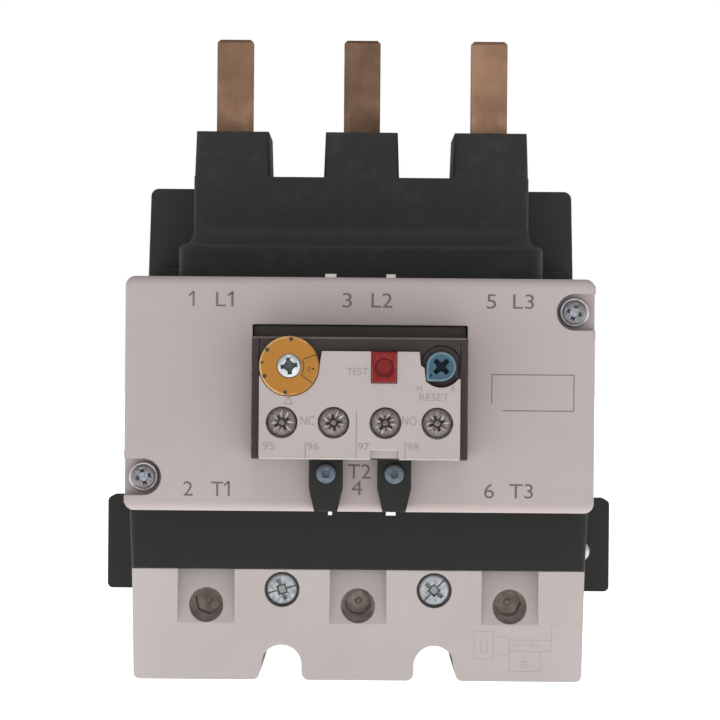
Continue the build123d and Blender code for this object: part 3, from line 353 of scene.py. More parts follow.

# %% [markdown]
# The housings are black glass-filled polyamide, the covers a warm grey polycarbonate. The trip
# module has its own dark brown case and a grey face like the covers. The dial, the test button
# and the reset knob are through-coloured, so their worn edges only get lighter, and that
# lightening is also their painted highlight.

# %% Plastics


def black_moulding(name, level, dust=0.01):
    """Black polyamide of one moulding; the level is its grey in the photograph's light."""
    tone = (level, level, level - 1)
    shade = tuple(value + 3 for value in tone)
    return moulded(name, tone, shade, (98, 97, 95), 0.48, 0.0005, 0.85, dust, 0.2, grain=7000.0,
                   depth=0.000012)


# Each row: name, colour, shade, colour of worn and highlit edges, then roughness, edge radius,
# wear and highlight, dust and gloss; the terminal cover also has its own grain and depth of
# grain
plastic_rows = {
    "cover_plastic": (
        "grey_cover", (175, 164, 162), (170, 159, 157), (206, 197, 194),
        0.52, 0.0004, 0.5, 0.03, 0.3),
    "terminal_plastic": (
        "grey_terminal_cover", (188, 182, 179), (183, 175, 173), (212, 206, 202),
        0.52, 0.0004, 0.4, 0.03, 0.3, 6000.0, 0.000016),
    "module_plastic": (
        "module_face_grey", (174, 165, 163), (168, 158, 156), (214, 207, 204),
        0.48, 0.0002, 0.3, 0.03, 0.3),
    "case_plastic": (
        "module_case_brown", (58, 52, 49), (53, 47, 44), (130, 116, 113),
        0.48, 0.0004, 0.9, 0.02, 0.2),
    "dial_plastic": (
        "dial_orange", (167, 112, 34), (158, 106, 32), (236, 204, 152),
        0.45, 0.0003, 0.9, 0.02, 0.3),
    "test_plastic": (
        "test_red", (126, 18, 20), (116, 16, 18), (206, 110, 108),
        0.45, 0.0004, 0.7, 0.01, 0.25),
    "reset_plastic": (
        "reset_blue", (57, 90, 107), (50, 81, 99), (120, 150, 162),
        0.45, 0.0002, 0.7, 0.01, 0.3),
    "inner_plastic": (
        "inner_natural", (206, 198, 180), (196, 187, 168), (222, 216, 202),
        0.5, 0.0003, 0.3, 0.12, 0.5),
    "knob_rim": (
        "reset_rim", (98, 122, 134), (88, 112, 126), (150, 172, 180),
        0.4, 0.0001, 0.6, 0.01, 0.3),
    "knob_shadow": (
        "reset_recess", (30, 44, 54), (24, 30, 38), (64, 88, 100),
        0.7, 0.0001, 0.4, 0.0, 0.1),
    # The rows below are painted light and shade: highlights on edges, rims and hook tips, shade in
    # the test dish, and a lighter front on the case's upper step
    "case_lip": (
        "module_case_lip_highlight", (106, 96, 94), (90, 80, 78), (140, 130, 127),
        0.42, 0.0003, 0.5, 0.0, 0.3),
    "case_front": (
        "module_case_front_painted_light", (98, 91, 86), (91, 84, 79), (120, 110, 106),
        0.5, 0.0002, 0.3, 0.0, 0.2),
    "plate_edge": (
        "module_face_edge_highlight", (218, 209, 205), (206, 197, 193), (230, 224, 220),
        0.42, 0.0003, 0.5, 0.0, 0.3),
    "dial_rim": (
        "dial_rim", (184, 138, 70), (208, 172, 116), (244, 220, 180),
        0.4, 0.0002, 0.6, 0.0, 0.4),
    "test_edge": (
        "test_red_edge_highlight", (176, 92, 88), (160, 74, 72), (206, 120, 116),
        0.45, 0.0003, 0.5, 0.0, 0.25),
    "test_ring": (
        "test_dish_painted_shade", (88, 12, 16), (98, 16, 20), (120, 30, 32),
        0.5, 0.0003, 0.5, 0.0, 0.2),
    "hook_tip": (
        "white_hook_tip_highlight", (252, 252, 252), (248, 248, 247), (254, 254, 254),
        0.5, 0.0003, 0.2, 0.0, 0.3),
}
finish = {key: moulded(*row) for key, row in plastic_rows.items()}
finish["black_plastic"] = black_moulding("black_polyamide", 34)
# The rear housing and the pin shroud are painted lighter than the other black parts, as painted
# light where they lie in shade; the shroud's extra dust lightens it further
black_rear = black_moulding("black_polyamide_rear_painted_light", 48)
black_shroud = black_moulding("black_polyamide_shroud_painted_light", 43, dust=0.07)
print(len(finish), "plastics")

# %% [markdown]
# The metals differ more by wear than by colour: fresh bluish zinc on the cover screws, dull
# grey on the terminal screws that a screwdriver has turned many times, brown tarnish on the
# copper pins with the scratches of the drawing die along them, and blackened steel on the load
# clamp screws. That steel is painted far lighter than it is, as painted light deep in its holes.

# %% Metals


def drawn_copper(name, level):
    """Tarnished copper bar at a level of brightness; the scratches run along it."""
    clean = tuple(round(value * level) for value in (152, 120, 99))
    stain = tuple(round(value * level) for value in (118, 92, 76))
    return metal(name, clean, stain, 0.42, 110.0, 0.45, bright=(206, 158, 126), rub_and_highlight=0.8,
                 edge=0.0004, scale=2400.0, along_z=0.025, depth=0.00001, streaking=0.8)


# Each row: name, colour, stain, roughness, then size of the blotches, staining, metallic, colour
# of rubbed and highlit edges, rub and highlight, and edge radius as far as they differ from the
# usual ones
usual_bright = (225, 225, 226)
metal_rows = {
    "zinc_steel": ("bright_zinc", (200, 204, 210), (140, 146, 154), 0.28, 420.0, 0.5),
    "aux_steel": ("worn_zinc", (143, 133, 133), (104, 94, 94), 0.45, 1500.0, 0.8, 0.85,
                  (196, 190, 188), 0.6, 0.00015),
    # Painted light: the clamp steel is much lighter than blackened steel, so it shows deep in its
    # holes
    "clamp_steel": ("blackened_steel_painted_light", (224, 210, 202), (182, 168, 160), 0.46, 500.0, 0.6, 0.7,
                    usual_bright, 0.5, 0.00025),
    "contact_brass": ("contact_brass", (206, 182, 120), (160, 136, 84), 0.3, 300.0, 0.4),
    "heater_metal": ("heater_alloy", (150, 140, 130), (112, 96, 82), 0.4),
    "blue_zinc": ("blue_passivated_zinc", (108, 117, 126), (80, 90, 100), 0.42, 900.0, 0.6, 0.85,
                  (160, 172, 182)),
    # Painted shade: darker zinc for the heads of the front cover's screws, which sit in pockets
    "pocket_zinc": ("shaded_zinc", (144, 140, 142), (108, 102, 104), 0.36, 800.0, 0.8, 1.0,
                    (236, 234, 234), 0.7, 0.00035),
    "terminal_zinc": ("scraped_zinc", (170, 174, 178), (118, 124, 130), 0.34, 1300.0, 0.8, 1.0,
                      (214, 216, 218), 0.4, 0.00015),
    # Painted shade: a darker floor in the square drive of the terminal screws
    "square_zinc": ("square_floor_painted_shade", (160, 162, 160), (132, 134, 132), 0.5, 1300.0, 0.6, 0.4),
    # Painted highlights on the mouth, lower lip and centre of the clamp screws' sockets
    "clamp_highlight": ("steel_painted_highlight", (246, 238, 226), (214, 204, 192), 0.4, 900.0, 0.6, 0.1),
    # Painted highlights: brighter zinc for the drive walls and the centre dome of those screws
    "pocket_drive": ("recess_painted_highlight", (176, 180, 188), (112, 116, 124), 0.45, 1400.0, 0.8, 0.3,
                     (226, 228, 232)),
    # The four recess colours below are painted shade, darker than the metal of the heads
    "drive_shadow": ("recess_painted_shade", (92, 95, 94), (72, 74, 74), 0.6, 900.0, 0.7, 0.2,
                     (150, 152, 154)),
    "terminal_shadow": ("terminal_recess_painted_shade", (126, 132, 136), (104, 110, 116), 0.5, 900.0, 0.7, 0.2,
                        (180, 182, 184)),
    "blue_shadow": ("blue_recess_painted_shade", (84, 98, 112), (68, 82, 98), 0.6, 900.0, 0.6, 0.2,
                    (120, 134, 146)),
    "aux_shadow": ("aux_recess_painted_shade", (88, 80, 78), (72, 64, 62), 0.6, 1200.0, 0.7, 0.2,
                   (150, 144, 142)),
}
finish.update({key: metal(*row) for key, row in metal_rows.items()})
finish["copper"] = drawn_copper("tarnished_copper", 1.0)
finish["bimetal"] = metal(
    "bimetal_strip", (172, 168, 162), (130, 122, 114), 0.33, staining=0.4, along_z=0.05
)
pin_levels = (0.93, 0.81, 1.03)
pin_copper = {
    f"line_pin_{number}": drawn_copper(f"tarnished_copper_{number}", level)
    for number, level in enumerate(pin_levels, start=1)
}
print(len(metal_rows) + len(pin_copper) + 2, "metals")

# %% [markdown]
# Every solid node takes the finish that the record names for it. The record's slots are the
# same words, so one table is enough, and a node that the table forgot would stop the script.

# %% Dress the solid nodes
own_finish = {"rear_housing": black_rear, "pin_shroud": black_shroud, **pin_copper}
for entry in frame["record"]["subparts"]:
    mesh = nodes[entry["node"]].data
    mesh.materials.clear()
    mesh.materials.append(own_finish.get(entry["node"], finish[entry["material_slot"]]))

# %% [markdown]
# ## Fasteners
#
# The solids have plain heads with a plain recess. Real drives are tapered: a driver bit is
# narrower at its tip, and the four arms of the cross close in towards the bottom. Each head is
# turned from a profile, and a cutter of the drive's own shape is taken away from it with an
# exact boolean, which is how the punch makes it.

# %% Turned bodies, cutters and cuts


def walls(shell, lower, upper):
    """Faces between two rings of vertices; a ring of one vertex is a tip on the axis."""
    sides = max(len(lower), len(upper))
    for step in range(sides):
        after = (step + 1) % sides
        if len(lower) == 1:
            shell.faces.new((lower[0], upper[after], upper[step]))
        elif len(upper) == 1:
            shell.faces.new((lower[step], lower[after], upper[0]))
        else:
            shell.faces.new((lower[step], lower[after], upper[after], upper[step]))


def lathe(profile, segments=48):
    """Mesh turned from a profile of (radius, height) in millimetres, closed on the axis."""
    shell = bmesh.new()
    rings = []
    for radius, level in profile:
        if radius == 0:
            rings.append([shell.verts.new((0, 0, level * mm))])
            continue
        turn = [2 * math.pi * step / segments for step in range(segments)]
        rings.append([
            shell.verts.new((radius * math.cos(a) * mm, radius * math.sin(a) * mm, level * mm))
            for a in turn
        ])
    for lower, upper in zip(rings, rings[1:]):
        walls(shell, lower, upper)
    bmesh.ops.recalc_face_normals(shell, faces=shell.faces)
    return shell


def prism(outline, top, bottom, taper=1.0):
    """Closed mesh between one outline at the top and the same outline, shrunk, at the bottom."""
    block = bmesh.new()
    upper = [block.verts.new((x * mm, y * mm, top * mm)) for x, y in outline]
    lower = [block.verts.new((x * taper * mm, y * taper * mm, bottom * mm)) for x, y in outline]
    block.faces.new(upper)
    block.faces.new(lower)
    walls(block, upper, lower)
    bmesh.ops.recalc_face_normals(block, faces=block.faces)
    return block


def bridge(rings):
    """Closed mesh through rings of equally many points in millimetres, capped at both ends."""
    block = bmesh.new()
    loops = [[block.verts.new([c * mm for c in point]) for point in ring] for ring in rings]
    for lower, upper in zip(loops, loops[1:]):
        walls(block, lower, upper)
    block.faces.new(loops[0])
    block.faces.new(loops[-1])
    bmesh.ops.recalc_face_normals(block, faces=block.faces)
    return block


def stack(layers):
    """Closed mesh through outlines of equal length, each at its own height."""
    return bridge([[(x, y, level) for x, y in outline] for outline, level in layers])


def polar(radius, angle):
    """Point at a radius and an angle in radians."""
    return radius * math.cos(angle), radius * math.sin(angle)


def turned(points, angle):
    """Points of an outline, turned round the middle by an angle in radians."""
    c, s = math.cos(angle), math.sin(angle)
    return [(x * c - y * s, x * s + y * c) for x, y in points]


def swept_arc(profile, start, stop, steps=64):
    """Closed mesh of a profile of radius by height, swept round Z between two angles."""
    angles = [math.radians(start + (stop - start) * step / steps) for step in range(steps + 1)]
    return bridge([[(*polar(radius, angle), level) for radius, level in profile]
                   for angle in angles])


def bar_outline(length, width, turn):
    """Four corners of a bar through the middle, turned by an angle in radians."""
    corners = [(-length / 2, -width / 2), (length / 2, -width / 2),
               (length / 2, width / 2), (-length / 2, width / 2)]
    return turned(corners, turn)


def cross_outline(reach, width, turn=0.0):
    """Twelve corners of a cross with arms of one reach and width."""
    r, w = reach / 2, width / 2
    corners = [(r, -w), (r, w), (w, w), (w, r), (-w, r), (-w, w), (-r, w), (-r, -w), (-w, -w),
               (-w, -r), (w, -r), (w, -w)]
    return turned(corners, turn)


def give_slot(piece, index):
    """Puts every face of a piece into one of the material slots that it will get."""
    piece.data.polygons.foreach_set("material_index", [index] * len(piece.data.polygons))


def to_object(name, shell, slot=None):
    """Object of a bmesh, linked to the scene, with all its faces in a slot if one is named."""
    mesh = bpy.data.meshes.new(name)
    shell.to_mesh(mesh)
    shell.free()
    piece = bpy.data.objects.new(name, mesh)
    scene.collection.objects.link(piece)
    if slot is not None:
        give_slot(piece, slot)
    return piece


def discard(piece):
    """Removes an object that has served its turn, and its mesh."""
    mesh = piece.data
    bpy.data.objects.remove(piece)
    bpy.data.meshes.remove(mesh)


def cut(piece, cutters):
    """Takes the cutters away with an exact boolean; the walls that they leave are in slot 1."""
    for solid in [piece] + cutters:
        while len(solid.data.materials) < 2:
            solid.data.materials.append(None)
    for cutter in cutters:
        give_slot(cutter, 1)
        modifier = piece.modifiers.new("cut", "BOOLEAN")
        modifier.operation = "DIFFERENCE"
        modifier.solver = "EXACT"
        modifier.object = cutter
    bpy.context.view_layer.update()
    evaluated = piece.evaluated_get(bpy.context.evaluated_depsgraph_get())
    mesh = bpy.data.meshes.new_from_object(evaluated)
    piece.modifiers.clear()
    old = piece.data
    piece.data = mesh
    bpy.data.meshes.remove(old)
    for cutter in cutters:
        discard(cutter)


def smooth(mesh, angle=35.0):
    """Smooth shading, with edges sharper than the angle kept sharp."""
    mesh.shade_smooth()
    mesh.set_sharp_from_angle(angle=math.radians(angle))


def settle(name, pieces, look, body, stands_for=None):
    """Joins placed pieces into one mesh that rides on a body and may stand for a CAD node.

    The look is the name of a finish, or a list with one for each slot of the pieces' faces.
    """
    joined = bmesh.new()
    for piece, matrix in pieces:
        copy = piece.data.copy()
        copy.transform(matrix)
        joined.from_mesh(copy)
        bpy.data.meshes.remove(copy)
    mesh = bpy.data.meshes.new(name)
    joined.to_mesh(mesh)
    joined.free()
    for piece in {piece for piece, _ in pieces}:
        discard(piece)
    result = bpy.data.objects.new(name, mesh)
    scene.collection.objects.link(result)
    coats = [finish[key] for key in (look if isinstance(look, list) else [look])]
    chosen = [min(polygon.material_index, len(coats) - 1) for polygon in mesh.polygons]
    for coat in coats:
        mesh.materials.append(coat)
    mesh.polygons.foreach_set("material_index", chosen)
    smooth(mesh)
    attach(result, body)
    if stands_for:
        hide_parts(stands_for)
    print(name, len(mesh.polygons), "faces")
    return result


print("fastener tools ready")

# %% [markdown]
# **Pan head screws.** One maker serves all the cover screws. The head is a low dome with a
# rounded rim, the drive is a tapered cross, and some heads also have the four thin tick marks
# between the arms that tell a driver bit's type. The heads on the terminal cover are flat, with
# two crossed slots and a square in the middle.

# %% A pan head with a cross drive


def pan_head(name, radius, rise, drive, shank=0.0, length=0.0, ticks=False, bars=(), turn=0.0,
             flat=False):
    """Pan head round the Z axis; its seat is at height 0 and its shank goes down.

    Bars are (length, width, angle) of the slots of a combined drive with a square middle.
    """
    profile = [(0, -length)] if shank else [(0, 0)]
    if shank:
        profile += [(shank * 0.8, -length), (shank, -length + shank * 0.4), (shank, 0)]
    profile += [(radius * 0.96, 0), (radius, rise * 0.12)]
    if flat:
        profile += [(radius, rise * 0.8), (radius * 0.97, rise * 0.92),
                    (radius * 0.92, rise * 0.98), (radius * 0.8, rise), (0, rise)]
    else:
        profile += [
            (radius, rise * 0.45), (radius * 0.95, rise * 0.68), (radius * 0.84, rise * 0.85),
            (radius * 0.66, rise * 0.95), (radius * 0.4, rise), (0, rise),
        ]
    head = to_object(name, lathe(profile))
    over = rise + 0.2
    if bars:
        cutters = [
            to_object("bar", prism(bar_outline(run, width, angle), over, rise - 0.5))
            for run, width, angle in bars
        ]
        cutters.append(to_object("square", prism(bar_outline(drive, drive, turn), over,
                                                 rise - 0.7, 0.86)))
    else:
        cutters = [
            to_object("arms", prism(cross_outline(drive, drive * 0.26, turn), over,
                                    rise - drive * 0.42, 0.5)),
            to_object("well", lathe([
                (0, over), (drive * 0.3, over), (drive * 0.24, rise - 0.2),
                (drive * 0.12, rise - drive * 0.5), (0, rise - drive * 0.55)], 24)),
        ]
    if ticks:
        cutters.append(to_object(
            "ticks", prism(cross_outline(radius * 1.5, 0.1, turn + math.pi / 4), over,
                           rise - 0.14)))
    cut(head, cutters)
    return head


def front_place(x, height, depth):
    """Matrix that sets a screw's seat at a point, with its head to the viewer."""
    return Matrix.Translation(at(x, height, depth)) @ to_front


front_seat = 96.2
upper_right = (42.9, 77.5)
lower_left = (-43.2, 43.9)
front_screw = pan_head("front_screw", 3.0, 2.1, 3.8, 1.25, 13.6, ticks=True, turn=1.3)
# The centre dome and the rim ring are painted highlights in brighter zinc, on a head in painted
# shade
centre_highlight_star = to_object("centre_highlight_star", lathe([
    (0, 1.15), (1.0, 1.15), (0.95, 1.75), (0.4, 1.9), (0, 1.82)], 24), 1)
rim_highlight_ring = to_object("rim_highlight_ring", lathe([
    (2.55, 1.7), (2.7, 1.84), (2.95, 1.5), (2.92, 1.2), (2.55, 1.7)]), 2)
cover_screws = settle(
    "front_cover_pan_screws",
    [(piece, place) for piece in (front_screw, centre_highlight_star, rim_highlight_ring) for place in (
        front_place(*upper_right, front_seat),
        front_place(*lower_left, front_seat) @ Matrix.Rotation(0.5, 4, "Z"))],
    ["pocket_zinc", "pocket_drive", "zinc_steel"], "casing", "front_cover_screws",
)
print("made", cover_screws.name)

# %% Screws of the terminal cover, the clips and the right ear
terminal_seat = 58.2
terminal_x, terminal_height = 16.05, 19.1
wide_bar, thin_bar = math.radians(111), math.radians(16)
terminal_screw = pan_head(
    "terminal_screw", 3.3, 2.1, 2.1, 1.75, 12.2,
    bars=[(4.5, 0.8, wide_bar), (6.5, 0.26, thin_bar)], turn=thin_bar, flat=True,
)
square_pad = to_object("square_pad", prism(bar_outline(1.4, 1.4, thin_bar), 1.75, 1.3, 1.1), 2)
left_terminal = front_place(-terminal_x, terminal_height, terminal_seat)
right_terminal = (
    front_place(terminal_x, terminal_height, terminal_seat)
    @ Matrix.Rotation(math.radians(30), 4, "Z")
)
terminal_screws = settle(
    "terminal_cover_pan_screws",
    [(piece, place) for place in (left_terminal, right_terminal)
     for piece in (terminal_screw, square_pad)],
    ["terminal_zinc", "terminal_shadow", "square_zinc"], "casing",
    "terminal_cover_screws",
)
clip_xs, clip_screw_height, clip_front = (-6.6, 7.0), 45.0, 103.4
clip_screw = to_object("clip_screw", lathe([
    (0, -3.4), (0.8, -3.4), (1.0, -3.0), (1.0, 0), (1.9, 0), (2.0, 0.15), (2.0, 0.75),
    (1.9, 1.0), (1.65, 1.15), (0, 1.2),
]))
cut(clip_screw, [
    to_object("square", prism(bar_outline(1.5, 1.5, 0.04), 1.5, 0.85, 0.85)),
    to_object("arms", prism(cross_outline(2.1, 0.5), 1.5, 0.95, 0.7)),
])
small_screws = settle(
    "clip_pan_screws",
    [(clip_screw, front_place(clip_xs[0], clip_screw_height, clip_front)),
     (clip_screw, front_place(clip_xs[1], clip_screw_height, clip_front)
      @ Matrix.Rotation(0.75, 4, "Z"))],
    ["blue_zinc", "blue_shadow"], "casing", "clip_screws",
)
ear_x, ear_height, ear_front = 49.4, 25.1, 12.5
ear_head = pan_head("ear_head", 2.6, 1.4, 2.6, 1.65, 10.5, turn=0.6)
ear_piece = settle(
    "ear_pan_screw", [(ear_head, front_place(ear_x, ear_height, ear_front))],
    ["zinc_steel", "drive_shadow"], "casing", "ear_screw",
)
print("pan heads:", terminal_screws.name, small_screws.name, ear_piece.name)

# %% [markdown]
# **Dial screw.** It sits in a small well of the dial and turns with it. Its cross is wide for
# the head, so almost only a ring of metal is left round the drive.

# %% Screw of the dial
dial_x, dial_height, dial_face = -13.93, 66.34, 112.4
dial_head = to_object("dial_head", lathe([
    (0, -0.8), (2.3, -0.8), (2.35, -0.7), (2.35, -0.1), (2.25, 0.1), (2.05, 0.2), (0, 0.2),
]))
cut(dial_head, [
    to_object("arms", prism(cross_outline(3.55, 0.9, 0.14), 0.4, -0.6, 0.7)),
    to_object("well", lathe([(0, 0.4), (1.1, 0.4), (0.8, -0.6), (0, -0.68)], 24)),
])
dial_piece = settle(
    "dial_drive_screw", [(dial_head, front_place(dial_x, dial_height, dial_face))],
    ["zinc_steel", "drive_shadow"], "dial", "dial_screw",
)
print("made", dial_piece.name)

# %% [markdown]
# **Reset knob.** It is a low teardrop whose corner points to H or A. A raised rim runs round its
# face, and the driver recess is a cross with flared arms, so the whole knob is built from
# stacked outlines here and stands for the plain solid.

# %% Reset knob


def teardrop(reach, corner, steps=54):
    """Circle with one square corner at the lower left, rounded to a corner radius."""
    turns = [math.radians(-90 + 270 * step / steps) for step in range(steps + 1)]
    outline = [polar(reach, a) for a in turns]
    inset = corner - reach
    for step in range(7):
        a = math.radians(180 + 90 * step / 6)
        outline.append((inset + corner * math.cos(a), inset + corner * math.sin(a)))
    return outline


def flared_cross(reach, waist, flare, turn):
    """Cross whose arms widen to their ends, with hollow sides between them."""
    points = []
    for quarter in range(4):
        arm = turn + quarter * math.pi / 2
        points += [(reach, arm - flare), (reach, arm + flare), (waist * 1.18, arm + 0.5),
                   (waist, arm + math.pi / 4), (waist * 1.18, arm + math.pi / 2 - 0.5)]
    return [polar(radius, angle) for radius, angle in points]


knob_x, knob_height, knob_back, knob_thick = 15.99, 66.44, 110.6, 1.6
knob_reach, knob_rim_width, knob_sink = 2.9, 0.36, 0.14
knob = to_object("knob", stack([
    (teardrop(knob_reach, 0.5), 0.0), (teardrop(knob_reach, 0.5), knob_thick - 0.16),
    (teardrop(knob_reach - 0.12, 0.42), knob_thick),
]))
cut(knob, [to_object("knob_sink", stack([
    (teardrop(knob_reach - knob_rim_width - 0.1, 0.3), knob_thick - knob_sink),
    (teardrop(knob_reach - knob_rim_width, 0.3), knob_thick + 0.1),
]))])
give_slot(knob, 0)
for polygon in knob.data.polygons:
    if polygon.center.z > (knob_thick - knob_sink * 0.6) * mm:
        polygon.material_index = 2
cut(knob, [to_object("cross", prism(flared_cross(2.0, 0.98, 0.24, math.pi / 4),
                                    knob_thick + 0.1, 0.5, 0.75))])
pointer = to_object("pointer", prism(
    [(-2.4, -2.12), (-2.06, -1.36), (-1.56, -1.9)], knob_thick - knob_sink + 0.06, 1.2), 1)
knob_place = front_place(knob_x, knob_height, knob_back)
knob_piece = settle(
    "reset_dial_knob", [(knob, knob_place), (pointer, knob_place)],
    ["reset_plastic", "knob_shadow", "knob_rim"], "knob", "reset_knob",
)
print("made", knob_piece.name)

# %% [markdown]
# A collar on the plunger fills the well round the knob, as on the real relay, so that dust stays
# out. It lies just behind the front plate and goes in with the plunger.

# %% Collar of the reset plunger
collar_front, flat_x = 110.35, 3.38
collar = to_object("collar", lathe([
    (0, -0.6), (3.9, -0.6), (4.0, -0.5), (4.0, -0.12), (3.88, 0.0), (0, 0.0),
]))
cut(collar, [to_object("flat_side", prism(
    [(flat_x, -5.0), (6.0, -5.0), (6.0, 5.0), (flat_x, 5.0)], 0.5, -1.0))])
collar_piece = settle(
    "reset_collar", [(collar, front_place(knob_x, knob_height, collar_front))],
    "case_plastic", "plunger",
)
print("made", collar_piece.name)

# %% [markdown]
# ## Threads
#
# The auxiliary and clamp screws turn in the model, so their threads show whenever they are
# backed out. A thread is a cylinder whose radius follows a triangle wave that climbs by one
# pitch in a turn; sampling it as a grid of angle by height needs no boolean at all.

# %% Threaded rods


def thread(radius, depth, pitch, low, high, segments=36, per_pitch=6):
    """Threaded rod round the Z axis between two heights, fading out at both ends."""
    rows = max(2, round((high - low) / pitch * per_pitch))
    rings = []
    for row in range(rows + 1):
        level = low + (high - low) * row / rows
        fade = min(1.0, (level - low) / pitch, (high - level) / pitch)
        ring = []
        for step in range(segments):
            turn = step / segments
            phase = (level / pitch - turn) % 1.0
            wave = 1.0 - abs(2.0 * phase - 1.0)
            reach = radius - depth * (1.0 - wave * fade)
            ring.append((*polar(reach, 2 * math.pi * turn), level))
        rings.append(ring)
    return bridge(rings)


aux_names = ("95", "96", "97", "98")
aux_xs = (-15.285, -5.095, 5.095, 15.285)
aux_height, aux_seat, aux_rise, burr_foot = 55.24, 106.65, 4.35, 4.0
aux_turns = (0.5, 0.15, 0.9, 0.3)
burr_places = random.Random(5)
for name, x, turn in zip(aux_names, aux_xs, aux_turns):
    head = to_object("aux_head", lathe([
        (0, 0), (2.7, 0), (2.9, 0.2), (2.9, 3.95), (2.86, 4.1), (2.72, 4.2), (2.3, 4.28),
        (1.4, 4.34), (0, aux_rise),
    ]))
    over = aux_rise + 0.3
    cut(head, [
        to_object("arms", prism(cross_outline(3.7, 0.6, turn), over, aux_rise - 0.8, 0.6)),
        to_object("thin_arms", prism(cross_outline(3.5, 0.24, turn + math.pi / 4), over,
                                     aux_rise - 0.35, 0.8)),
        to_object("well", lathe([(0, over), (1.0, over), (0.8, aux_rise - 0.5),
                                 (0.5, aux_rise - 0.8), (0, aux_rise - 0.85)], 24)),
    ])
    nub = to_object("aux_nub", lathe([
        (0, 2.8), (0.66, 2.8), (0.6, aux_rise - 0.35), (0.3, aux_rise - 0.2),
        (0, aux_rise - 0.18)], 12))
    # Burrs that the screwdriver left on the lands between the arms; their brighter zinc is a
    # painted highlight
    glinting_burrs = []
    for land in range(8):
        lean = turn + math.pi / 8 + land * math.pi / 4 + burr_places.uniform(-0.12, 0.12)
        start, stop = burr_places.uniform(1.25, 1.5), burr_places.uniform(1.9, 2.5)
        thin = burr_places.uniform(0.06, 0.13)
        swing = burr_places.choice((-0.28, 0.0, 0.22))
        outline = [(start, -thin), (stop, -thin * 0.6 + swing), (stop, thin * 0.6 + swing),
                   (start, thin)]
        glinting_burrs.append(to_object("glinting_burr", prism(turned(outline, lean), aux_rise, burr_foot), 2))
    rod = to_object("aux_rod", thread(1.7, 0.3, 0.6, -8.05, 0.02))
    placed = front_place(x, aux_height, aux_seat)
    piece = settle(
        f"terminal_screw_{name}", [(solid, placed) for solid in [head, nub, rod] + glinting_burrs],
        ["aux_steel", "aux_shadow", "zinc_steel"], f"aux_{name}", f"aux_screw_{name}",
    )
print("last auxiliary screw:", piece.name)

# %% [markdown]
# The clamp screws are headless M10 screws with a hexagon socket. The socket has a small cone
# at its mouth that leads the key in, and the thread ends in a plain pilot that the pressure
# plate turns on.

# %% Load clamp screws
load_xs = (-32.05, 0.0, 32.05)
clamp_height, clamp_back, clamp_front = 15.7, 38.05, 50.0
socket = 5.0 / math.cos(math.radians(30)) / 2
for number, x in enumerate(load_xs, start=1):
    end = to_object("clamp_end", lathe([
        (0, -1.2), (4.4, -1.2), (5.0, -0.8), (5.0, -0.6), (4.3, 0.0), (0, 0),
    ]))
    hexagon = [polar(socket, math.radians(60 * k + 30 + 11 * number)) for k in range(6)]
    rod = to_object("clamp_rod", thread(5.0, 0.9, 1.5, clamp_back - clamp_front, -1.0, 48, 8))
    lead_in = to_object("lead_in", lathe([(0, 0.3), (3.3, 0.3), (2.5, -0.5), (0, -0.5)], 36))
    key_hole = to_object("key_hole", prism(hexagon, 0.2, -5.5))
    key_hole_rod = to_object("key_hole_rod", prism(hexagon, 0.2, -5.5))
    cut(end, [key_hole])
    give_slot(end, 0)
    cut(end, [lead_in])
    cut(rod, [key_hole_rod])
    give_slot(rod, 0)
    # The lead-in cone, the centre mark and the lower lip are in lighter steel as painted
    # highlights
    centre_mark = to_object("centre_mark", lathe([
        (0, -5.6), (0.7, -5.6), (0.5, -5.1), (0, -5.0)], 16), 1)
    lower_lip = to_object("lower_lip", swept_arc(
        [(2.72, -0.6), (3.0, -0.6), (3.0, 0.03), (2.86, 0.03), (2.72, -0.12)], 205, 335, 32), 1)
    pilot = to_object("pilot", lathe([
        (0, -13.4), (1.7, -13.4), (2.0, -13.1), (2.0, -11.9), (0, -11.9),
    ], 36))
    placed = front_place(x, clamp_height, clamp_front)
    piece = settle(
        f"clamp_screw_thread_{number}",
        [(solid, placed) for solid in (end, rod, pilot, centre_mark, lower_lip)],
        ["clamp_steel", "clamp_highlight"], f"screw_{number}", f"clamp_screw_{number}",
    )
print("last clamp screw:", piece.name)

# %% [markdown]
# ## Printing and marks
#
# Terminal numbers are part of how the relay is used, and any relay of this kind has them. The
# letters are thin solids of ink, a few hundredths of a millimetre proud, so that they are real
# geometry and sit on the surface from every side.

# %% Ink
finish["ink"] = two_tone(
    "printed_ink", (92, 82, 80), (110, 100, 98), 0.6, 5000.0, 0.00001, 0.5
)
finish["pale_ink"] = two_tone(
    "pale_ink", (132, 121, 119), (150, 139, 137), 0.6, 5000.0, 0.00001, 0.5
)
cap_height = 0.729


def lettering(text, left, right, height, depth, size):
    """Mesh object of a short text between two x, on a baseline, with capitals of a height."""
    curve = bpy.data.curves.new("letters", "FONT")
    curve.body = text
    curve.size = size / cap_height * mm
    curve.extrude = 0.02 * mm
    curve.resolution_u = 4
    writer = bpy.data.objects.new("letters", curve)
    scene.collection.objects.link(writer)
    bpy.context.view_layer.update()
    mesh = bpy.data.meshes.new_from_object(writer)
    bpy.data.objects.remove(writer)
    bpy.data.curves.remove(curve)
    start = min(vertex.co.x for vertex in mesh.vertices)
    run = max(vertex.co.x for vertex in mesh.vertices) - start
    squeeze = Matrix.Diagonal(((right - left) * mm / run, 1.0, 1.0, 1.0))
    mesh.transform(squeeze @ Matrix.Translation((-start, 0, 0)))
    mesh.transform(Matrix.Translation(at(left, height, depth)) @ to_front)
    piece = bpy.data.objects.new("letters", mesh)
    scene.collection.objects.link(piece)
    return piece


